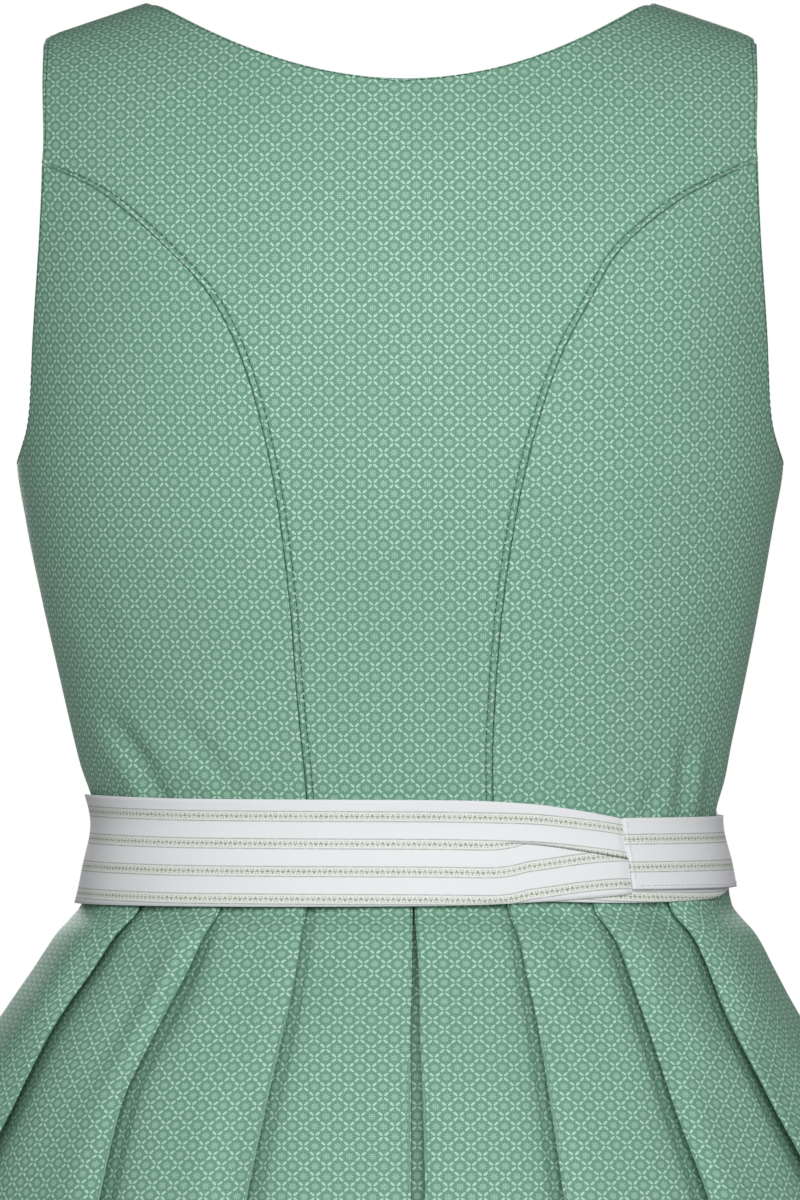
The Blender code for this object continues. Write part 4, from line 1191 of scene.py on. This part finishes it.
# %% One side of the skirt
def skirt_side(height, side):
    """One side of the pleated section, from the centre back to the centre front."""
    _, half_run = level_run(height)
    depth, layer = pleat_at(height)
    waist_depth = pleat_at(WAIST)[0]
    here = fold_runs(height, half_run, side)
    waist = fold_runs(WAIST, level_run(WAIST)[1], side)
    tuck = UNDERLAP - max(here[0], 0.0) / 2
    slit, box = SLIT_DEPTH * depth, depth + 0.8 * layer
    path = [(0.0, slit), (here[0] + tuck / 2, (slit + box) / 2), (here[0] + tuck, box)]
    path += fold_points(here[0] + tuck, tuck, box, layer)
    for fold in range(FOLDS_PER_SIDE - 1):
        pitch, waist_pitch = here[fold + 1] - here[fold], waist[fold + 1] - waist[fold]
        cloth = (math.hypot(waist_pitch + UNDERLAP, waist_depth)
                 + math.hypot(UNDERLAP, waist_depth))
        aside = (here[fold + 1] / half_run - 0.5) / SIDE_SPAN
        pressed = max(depth * (1 - SIDE_PRESSED * math.exp(-aside**2)), 2.2 * layer)
        sunk = min(pressed, DEEPEST_WAVE * math.sqrt(cloth**2 - pitch**2) / 2)
        under = tucked_length(pitch, sunk, cloth)
        path += pleat_points(here[fold], pitch, under, sunk, layer, ROLLED[min(fold, 3)])
    last = here[-1]
    path += [(last + share * (half_run - last), 0.0) for share in (0.0, 0.45, 0.9, 1.0)]
    return np.array(path)


print("cloth in one pleat at the waist:", round(FOLD_PITCH + 2 * UNDERLAP), "mm")

# %% [markdown]
# ## The skirt's two lengths
# The two lengths of the skirt join inside a pleat at each side, where a dressmaker hides such
# seams. Between the points of the zigzag a smooth curve is drawn, which rounds the folds the
# way cotton does. Going down, the rows come close together where the skirt leaves the waist.
# There the cloth is also pulled in here and there, in short hollows with a low ridge beside
# them, because a pleat that was pressed flat never falls quite evenly once it is worn. The
# print is laid a few per cent larger than on the bodice.

# %% Skirt lengths
SKIRT_CLOTH, PRINT_EASE = 0.9, (0.955, 0.963)
SKIRT_PULLS = (
    # out, height of both ends, depth, half width: hollows between the folds
    (-105.0, -388.0, -125.0, -404.0, 6.5, 6.5), (-126.0, -406.0, -143.0, -452.0, 4.0, 7.0),
    (-62.0, -384.0, -80.0, -404.0, 2.6, 3.6), (-108.0, -417.0, -123.0, -475.0, 2.6, 8.0),
    (-96.0, -405.0, -106.0, -444.0, 3.6, 5.5), (-62.0, -425.0, -76.0, -465.0, 1.6, 4.0),
    (-58.0, -388.0, -84.0, -428.0, 2.2, 5.0), (83.0, -400.0, 103.0, -446.0, 3.6, 5.5),
    (123.0, -398.0, 153.0, -450.0, 3.4, 5.5), (100.0, -405.0, 133.0, -466.0, 2.0, 4.0),
    (64.0, -450.0, 78.0, -535.0, 2.4, 7.0), (30.0, -396.0, 40.0, -440.0, 1.2, 7.0),
    (-34.0, -400.0, -24.0, -470.0, 1.6, 7.0), (-150.0, -430.0, -178.0, -500.0, 2.6, 7.0),
    (150.0, -440.0, 184.0, -510.0, 2.6, 7.0),
)
SIDEWAYS_EASE = 40.0
PULLS_FROM, PULLS_EASE, FOLD_PIECES = WAIST - 30.0, 8.0, 3
SKIRT_ROWS = np.concatenate([np.linspace(WAIST, -382, 7), np.linspace(-384.5, -470, 36),
                             np.linspace(-474, -560, 20), np.linspace(-575, SKIRT_HEM, 20)])


def skirt_row(height):
    read, _ = level_run(height)
    sides = []
    for side, sign in ((0, 1.0), (1, -1.0)):
        path = skirt_side(height, side)
        plan = read(sign * path[:, 0], -path[:, 1] - SKIRT_CLOTH / 2)
        sides.append(np.column_stack([plan, np.full(len(plan), height)]))
    left, right = sides
    join = CENTRE_POINTS + JOIN_PLEAT * PLEAT_POINTS + JOIN_POINT
    back = np.vstack([left[:join + 1][::-1], right[1:join + 1]])
    front = np.vstack([right[join:], left[join:-1][::-1]])
    return rounded(back, FOLD_PIECES), rounded(front, FOLD_PIECES)


def skirt_flat(points):
    """Across: the run of cloth along each row. Up: the run of the form from the waist."""
    across = run_along(points, 1)
    across -= across[:, [across.shape[1] // 2]]
    heights = points[:, 0, 2]
    down = run_along(np.column_stack([section_at(heights)[:, 1], heights]))
    return flat_grid(across, -down[:, None])


backs, fronts = zip(*(skirt_row(height) for height in SKIRT_ROWS))
for name, grid in (("skirt_back", np.array(backs)), ("skirt_front", np.array(fronts))):
    flat = skirt_flat(grid)
    ease = np.clip((PULLS_FROM - grid[..., 2]) / PULLS_EASE, 0.0, 1.0)
    facing = np.clip(grid[..., 1] / SIDEWAYS_EASE, -1.0, 1.0)
    grid[..., 1] -= ease * facing * pulled(grid, SKIRT_PULLS)
    grid[0, :, 2] -= SEAM_GAP
    for end, beside in ((0, 1), (-1, -2)):
        grid[:, end] += unit(grid[:, beside] - grid[:, end]) * SEAM_GAP / 2
    add_cloth(name, grid, flat, SKIRT_CLOTH, GREEN, print_ease=PRINT_EASE)
print("rows down the skirt:", len(SKIRT_ROWS))

# %% [markdown]
# ## The ties and the waistband
# An apron hangs from a flat waistband whose ends go on as long ties. They cross at the back
# and come round to the front for the bow, so at the back two layers lie over each other. Each
# band is a strip round the waist, read from a table of its angle, top, foot and offset. Near
# the waistband and the bow the outer tie is creased along its length, and the table says how
# much cloth that crease takes up. Its stripes run through the crease, as woven stripes do.

# %% Bands round the waist
WAISTBAND_TOP, WAISTBAND_FOOT = -349.6, -380.1
OVER_TIE = (
    # angle, top, foot, offset, tuck: cloth that one fold along the tie takes up, edge: rolled in
    (-43.0, -350.2, -381.6, 1.5, 6.2, 2.2), (-41.2, -350.0, -381.8, 1.7, 6.2, 2.2),
    (-38.8, -349.3, -382.2, 2.9, 5.9, 2.2), (-31.0, -346.6, -383.4, 3.1, 4.4, 1.6),
    (-20.0, -343.4, -385.0, 3.1, 1.7, 0.7), (-9.0, -342.0, -386.2, 3.1, 0.0, 0.0),
    (0.0, -341.7, -386.6, 3.1, 0.0, 0.0), (40.0, -341.4, -387.0, 3.1, 0.0, 0.0),
    (58.0, -340.9, -387.0, 2.7, 0.0, 0.0), (84.0, -340.4, -387.0, 2.2, 0.0, 0.0),
    (100.0, -341.6, -385.4, 2.2, 0.0, 0.6), (130.0, -347.2, -382.0, 2.8, 2.4, 2.4),
    (156.0, -350.2, -380.6, 3.4, 4.6, 2.4), (182.0, -350.6, -379.6, 4.6, 5.6, 2.6),
    (187.5, -350.8, -377.6, 6.0, 6.2, 2.6),
)
UNDER_TIE = (
    # angle, top, foot, offset, tuck, edge
    (40.0, -347.0, -381.0, 1.35, 0, 0), (20.0, -347.0, -383.0, 1.35, 0, 0),
    (-20.0, -350.0, -384.6, 1.35, 0, 0), (-40.0, -352.5, -385.6, 1.35, 0, 0),
    (-66.0, -353.5, -384.6, 1.35, 0, 0), (-84.0, -352.5, -379.0, 1.35, 0, 0),
    (-93.0, -350.0, -375.6, 1.35, 0, 0), (-104.0, -342.5, -368.0, 1.35, 0, 0),
    (-115.0, -332.0, -357.5, 1.35, 0, 0), (-124.0, -324.5, -350.5, 1.35, 0, 0),
    (-132.0, -320.5, -346.5, 1.4, 0, 0), (-142.0, -319.5, -345.0, 1.9, 0, 0),
    (-151.0, -321.5, -345.5, 3.0, 0, 0),
    (-158.0, -327.0, -348.0, 5.6, 0, 0), (-162.0, -336.0, -354.0, 8.0, 0, 0),
)
WAISTBAND = [(angle, WAISTBAND_TOP, WAISTBAND_FOOT, offset, 0, 0) for angle, offset in (
    (-40.7, 3.1), (-88.0, 3.1), (-104.0, 4.1), (-149.0, 4.1), (-179.0, 1.35), (-319.3, 1.35))]
ABOVE_TUCK, TUCK_FLAT, TUCK_LIFT, TUCK_ROWS = 17.0, 1.5, (0.75, 0.75, 0.2, -0.35), (13, 5, 12)
BAND_CLOTH, TIE_STRIPE, BAND_STRIPE, RIPPLE, POINTS_A_DEGREE = 1.0, 7.1, 9.2, 0.3, 1.4
BANDS = {}
print("the ties are", round(OVER_TIE[6][1] - OVER_TIE[6][2], 1), "mm wide at the centre back")

# %% [markdown]
# ## Laying a band
# A band is laid in four lines: its top, where its crease starts and ends, and its foot. The
# crease takes up cloth without making the band wider, so the lines are read once on the cloth
# and once on the body. Between them the cloth lifts over the crease and dips under it.

# %% Bands
def add_band(name, table, wall, first_stripe, ripples=RIPPLE):
    """A strip round the waist, its stripes along it; one long fold may take up its width."""
    ends = min(table)[0], max(table)[0]
    angle = np.linspace(*ends, int(POINTS_A_DEGREE * (ends[1] - ends[0])) + 1)
    top, foot, offset, tuck, edge = table_reader(table)(angle).T
    fold = np.minimum(tuck / TUCK_FLAT, 1.0)
    flat_part, tucked, above = TUCK_FLAT * (1 - fold), fold * tuck, np.full_like(tuck, ABOVE_TUCK)
    cloth = np.cumsum([0 * tuck, above, flat_part + tucked,
                       top - foot - above - flat_part + tucked], axis=0)
    below = np.array([0 * tuck, above, above + flat_part - tucked, top - foot])
    where = np.concatenate([k + np.linspace(0, 1, count, endpoint=False)
                            for k, count in enumerate(TUCK_ROWS)] + [[len(TUCK_ROWS)]])
    lower = np.minimum(where.astype(int), len(TUCK_ROWS) - 1)
    share = (where - lower)[:, None]
    down, height = [(1 - share) * g[lower] + share * g[lower + 1] for g in (cloth, top - below)]
    lift = fold * np.interp(where, np.arange(len(TUCK_LIFT)), TUCK_LIFT)[:, None]
    ripple = ripples * np.sin(angle / 9.0 + height / 7.0) * np.sin(angle / 23.0 + 1.0)
    points = hull(angle, height, offset + lift + ripple)
    down = down + edge - first_stripe
    BANDS[name] = points
    add_cloth(name, points, flat_grid(run_along(points[0]), down), wall, STRIPY)


add_band("apron_waistband", WAISTBAND, BAND_CLOTH, BAND_STRIPE, ripples=0.0)
add_band("tie_over", OVER_TIE, 0.5, TIE_STRIPE)
add_band("tie_under", UNDER_TIE, 0.8, TIE_STRIPE)
print("bands:", len(BANDS))

# %% [markdown]
# The waistband is stitched along its foot and up its right end, where the outer tie is set in.

# %% Stitches of the waistband
def band_path(name, inset, wall):
    """Along a band's foot and up its right end, at that distance from the edges."""
    points = BANDS[name]
    normals = outward(points)
    points = points + normals * wall / 2
    along, down = run_along(points[-1]), run_along(points[:, -1])
    column = np.interp(along[-1] - inset, along, np.arange(len(along)))
    row = np.interp(down[-1] - inset, down, np.arange(len(down)))
    i, j = int(row), int(column)
    s, t = row - i, column - j
    foot = [(1 - s) * g[i, 2:j + 1] + s * g[i + 1, 2:j + 1] for g in (points, normals)]
    end = [(1 - t) * g[1:i + 1, j] + t * g[1:i + 1, j + 1] for g in (points, normals)]
    return [tuple(foot), tuple(end)]


paths = band_path("apron_waistband", EDGE_STITCH, BAND_CLOTH)
sew("waistband_stitches", paths, WHITE_THREAD, STRIPY)

# %% [markdown]
# ## The apron's skirt
# The apron is a wide straight cloth gathered on to its waistband at the front. Its gathers
# start as many small ripples under the band and run together into fewer, wider waves lower
# down. Two waves of different size do that here: the fine one dies out below the band while
# the wide one grows. Because the cloth is gathered, its stripes come together at the top.

# %% Apron skirt
APRON_CLOTH, APRON_GATHERS, FINE_GATHERS, POINTS_A_GATHER = 0.9, 13, 43, 28
APRON_FALL = (
    # height, half_angle, wave, offset
    (-380.0, 80.0, 0.4, 1.9), (-400.0, 73.0, 1.6, 3.4), (-450.0, 65.0, 3.6, 5.2),
    (-560.0, 58.0, 5.5, 7.2), (-760.0, 54.0, 7.5, 9.2), (-1002.0, 52.0, 9.5, 11.2),
)
apron_at = table_reader(APRON_FALL)
share = np.linspace(-1.0, 1.0, APRON_GATHERS * POINTS_A_GATHER + 1)
height = np.concatenate([np.linspace(WAISTBAND_FOOT - 0.6, -420, 20),
                         np.linspace(-424, APRON_HEM, 46)])[:, None]
half, wave, offset = np.moveaxis(apron_at(height), -1, 0)
turn = share * math.pi * APRON_GATHERS + 0.9 * np.sin(3.1 * math.pi * share + 0.6)
uneven = 0.75 + 0.25 * np.sin(7.0 * share + 0.8)
below_band = np.clip((WAISTBAND_FOOT - 2.0 - height) / 4.0, 0.0, 1.0)
fine = below_band * np.clip((height + 470.0) / 70.0, 0.0, 1.0)
outwards = (offset + wave * uneven * (0.8 * np.sin(turn) + 0.2 * np.sin(2.3 * turn + 1.3))
            + 0.6 * fine * np.sin(share * math.pi * FINE_GATHERS + np.sin(9.0 * share)))
points = hull(180.0 + share * half, height, outwards)
flat = flat_grid(run_along(points[:, len(share) // 2])[:, None], run_along(points[-1]))
add_cloth("apron_skirt", points, flat, APRON_CLOTH, STRIPY)

# %% [markdown]
# ## The bow
# The ties end in a bow at the wearer's front right, which is a knot, two loops and two tails.
# Tying a simulated ribbon takes long and seldom ends neatly, so each part is swept along the
# curve that it takes: out and back for a loop, down for a tail and round for the knot.

# %% Bow
KNOT_ANGLE, KNOT_HEIGHT, KNOT_OFFSET, KNOT_HALF = -166.0, -357.0, 12.9, (15.0, 9.0, 18.0)
BOW_CLOTH, BOW_LEVELS, BOW_POINTS = 0.8, np.linspace(-1.0, 1.0, 25), 81
LOOP_LENGTH, LOOP_WIDTH, LOOP_AT_KNOT, LOOP_OPEN = 72.0, 44.0, 9.0, 14.0
LOOP_PARTED, LOOP_OUT, KNOT_ROUND = 0.9, 1.5, 11.0
TAIL_WIDTH, TAIL_AT_KNOT, TAIL_APART, TAIL_FANS_BY, TAIL_LAYER = 46.0, 6.0, 6.2, 0.2, 1.7
middle = hull(KNOT_ANGLE, KNOT_HEIGHT, KNOT_OFFSET)
knot_across = hull(KNOT_ANGLE - 1.0, KNOT_HEIGHT, KNOT_OFFSET) - middle
knot_across = unit(knot_across * (1, 1, 0))
knot_out = np.array([knot_across[1], -knot_across[0], 0.0])
knot_out = -knot_out if knot_out[1] > 0 else knot_out
knot_up = np.array([0.0, 0.0, 1.0])


def add_loop(name, sign, droop):
    turn, level = np.linspace(0.0, 2 * math.pi, BOW_POINTS), BOW_LEVELS[:, None]
    share = (1 - np.cos(turn)) / 2
    reach = KNOT_HALF[0] + SEAM_GAP + LOOP_LENGTH * share
    open_out = LOOP_OPEN * np.sin(turn) * share + LOOP_PARTED * np.sign(np.pi - turn) + LOOP_OUT
    half = LOOP_AT_KNOT + (LOOP_WIDTH / 2 - LOOP_AT_KNOT) * np.clip(share * 2.2, 0, 1) ** 0.8
    rise = level * half + droop * share**1.5
    points = (middle + (sign * reach)[:, None] * knot_across + open_out[:, None] * knot_out
              + rise[..., None] * knot_up)
    flat = flat_grid(run_along(points[len(level) // 2]), (level + 1) * LOOP_WIDTH / 2 - TIE_STRIPE)
    add_cloth(name, points, flat, BOW_CLOTH, STRIPY)


def add_tail(name, side, lean, length, layer):
    share = np.linspace(0.0, 1.0, BOW_POINTS)[:, None]
    height = KNOT_HEIGHT - KNOT_HALF[2] - SEAM_GAP - share * length
    fan = np.minimum(share / TAIL_FANS_BY, 1.0)
    half = TAIL_AT_KNOT + (TAIL_WIDTH / 2 - TAIL_AT_KNOT) * fan**0.8
    out = side * TAIL_APART + lean * share * length + middle[0] + half * BOW_LEVELS
    sway, wide, _, _ = np.moveaxis(section_at(height), -1, 0)
    turned = np.clip(np.abs(out - sway) / wide, 0, 1) ** (1 / POWER)
    angle = 180.0 - np.sign(out - sway) * np.degrees(np.arcsin(turned))
    _, wave, offset = np.moveaxis(apron_at(height), -1, 0)
    clear = (1 - fan) * (KNOT_OFFSET + side * TAIL_LAYER / 2) + fan * (offset + wave + layer)
    points = hull(angle, height, clear)
    along = run_along(points[:, len(BOW_LEVELS) // 2])[:, None]
    flat = flat_grid(along, (BOW_LEVELS + 1) * TAIL_WIDTH / 2 - TIE_STRIPE)
    add_cloth(name, points, flat, BOW_CLOTH, STRIPY)


add_loop("bow_loop_left", -1.0, -15.0)
add_loop("bow_loop_right", 1.0, -10.0)
add_tail("bow_tail_left", -1.0, -0.22, 330.0, TAIL_LAYER)
add_tail("bow_tail_right", 1.0, 0.10, 300.0, 3 * TAIL_LAYER)
print("bow at angle", KNOT_ANGLE)

# %% [markdown]
# The knot is the same ribbon drawn tight round the middle. It is made as a squared ball, pinched
# towards its top and foot, with shallow pleats round its belly.

# %% Knot
turn, rise = np.meshgrid(np.linspace(0, 2 * math.pi, 65), np.linspace(-1, 1, 33))
belt = np.cos(rise * math.pi / 2) ** 0.55
ripple = 1.0 - 0.05 * (0.5 + 0.5 * np.cos(rise * 9.0 * math.pi / 2)) * belt
shape = [np.sign(f) * np.abs(f) ** 0.8 for f in (np.cos(turn), np.sin(turn))]
points = (middle + (KNOT_HALF[0] * belt * ripple * shape[0])[..., None] * knot_across
          + (KNOT_HALF[1] * belt * ripple * shape[1])[..., None] * knot_out
          + (KNOT_HALF[2] * np.sin(rise * math.pi / 2))[..., None] * knot_up)
mesh = grid_mesh("bow_knot", points, np.stack([rise * LOOP_WIDTH / 2, turn * KNOT_ROUND], -1))
knot = into_scene("bow_knot", mesh, STRIPY, STRIPED)
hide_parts("bow_knot")
print("knot is", 2 * KNOT_HALF[2], "mm high")

# %% [markdown]
# ## The covered buttons
# The front closes with small buttons covered in the dress's own cotton. Each is a low dome
# with a rolled rim, turned on a lathe in the head and made as rings of points here.

# %% Buttons
BUTTON_PROFILE = ((0.0, 1.0), (0.3, 0.97), (0.55, 0.88), (0.75, 0.70), (0.88, 0.45),
                  (0.96, 0.15), (1.0, -0.2), (0.98, -0.6), (0.9, -0.9), (0.6, -1.0), (0.0, -1.0))
BUTTON_HALF_THICK, BUTTON_POINTS, BUTTONS = 1.5, 41, 7


def add_button(name):
    low, high = (np.array(corner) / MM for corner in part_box(name))
    centre, radius = (low + high) / 2, (high - low)[0] / 2
    normal = np.array(max(bpy.data.objects[name].data.polygons, key=lambda p: p.area).normal)
    normal = unit(-normal if normal[1] > 0 else normal)
    side = np.array([1.0, 0.0, 0.0])
    up = np.cross(normal, side)
    turn = np.linspace(0, 2 * math.pi, BUTTON_POINTS)
    flat = np.array([r * radius * np.stack([np.cos(turn), np.sin(turn)], -1)
                     for r, _ in BUTTON_PROFILE])
    rise = BUTTON_HALF_THICK * np.array([h for _, h in BUTTON_PROFILE])[:, None, None] * normal
    rings = centre + flat[..., :1] * side + flat[..., 1:] * up + rise
    made = into_scene(name, grid_mesh(name, rings, flat), "covered_button", GREEN_COTTON)
    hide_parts(name)


for k in range(1, BUTTONS + 1):
    add_button(f"button_{k}")
print("buttons:", BUTTONS)

# %% [markdown]
# ## The floor
# The floor is a wide pale disc below the dress. It glows, so that it stays pale as far as one
# can see, but it casts no light on the dress, which would wash the shade out of the folds.

# %% Floor
FLOOR_HEIGHT, FLOOR_REACH, FLOOR_SIDES, FLOOR_GLOW = -1.4, 12.0, 64, 0.62
PALE, WHITE_LIGHT = (0.86, 0.86, 0.86), (1.0, 1.0, 1.0, 1.0)


def pale_floor():
    material, tree, shader = new_finish("pale floor", 0.9)
    mixed = mix_colours(tree, noise_number(tree, 3.0), PALE, scaled(PALE, 0.97))
    tree.links.new(mixed, shader.inputs["Base Color"])
    shader.inputs["Emission Color"].default_value = WHITE_LIGHT
    shader.inputs["Emission Strength"].default_value = FLOOR_GLOW
    return material


turn = np.linspace(0.0, 2.0 * math.pi, FLOOR_SIDES, endpoint=False)
rim = [(FLOOR_REACH * math.cos(a), FLOOR_REACH * math.sin(a), FLOOR_HEIGHT) for a in turn]
mesh = bpy.data.meshes.new("floor")
mesh.from_pydata(rim, [], [range(FLOOR_SIDES)])
mesh.materials.append(pale_floor())
floor = bpy.data.objects.new("floor", mesh)
bpy.context.scene.collection.objects.link(floor)
floor.visible_diffuse = False
print("floor", 2 * FLOOR_REACH, "m across")

# %% [markdown]
# ## Lights and background
# The dress stands in plain studio light: two soft lights behind it, one to each side of the
# camera and one of them a little stronger, so that the cloth darkens gently where it turns
# away. The front of the dress has the same pair. The background is white to look at, but gives
# only a little light of its own.

# %% Lights
BACKGROUND_LIGHT, LIGHT_SIZE, AIM = 0.23, 0.5, (0.0, 0.0, -0.3)
LIGHTS = (
    # name, out, away, height, power
    ("key", -0.33, 1.3, -0.02, 7.6), ("fill", 0.24, 1.3, 0.06, 6.3),
)


def add_light(name, place, power):
    light = bpy.data.lights.new(name, "AREA")
    light.shape, light.size, light.energy = "SQUARE", LIGHT_SIZE, power
    made = bpy.data.objects.new(name, light)
    bpy.context.scene.collection.objects.link(made)
    made.location = place
    made.visible_camera = False
    ahead = np.array(place) - AIM
    made.rotation_euler = (math.atan2(math.hypot(ahead[0], ahead[1]), ahead[2]), 0.0,
                           math.atan2(ahead[0], -ahead[1]))


for side, end in ((1.0, "back"), (-1.0, "front")):
    for name, out, away, height, power in LIGHTS:
        add_light(f"{end} {name}", (out * side, away * side, height), power)

world = bpy.data.worlds.new("studio")
bpy.context.scene.world = world
world.use_nodes = True
tree = world.node_tree
glow = tree.nodes["Background"]
glow.inputs["Color"].default_value = WHITE_LIGHT
seen = tree.nodes.new("ShaderNodeLightPath")
level = tree.nodes.new("ShaderNodeMapRange")
level.inputs["To Min"].default_value, level.inputs["To Max"].default_value = BACKGROUND_LIGHT, 1.0
tree.links.new(seen.outputs["Is Camera Ray"], level.inputs["Value"])
tree.links.new(level.outputs[0], glow.inputs["Strength"])
bpy.context.scene.view_settings.view_transform = "Standard"
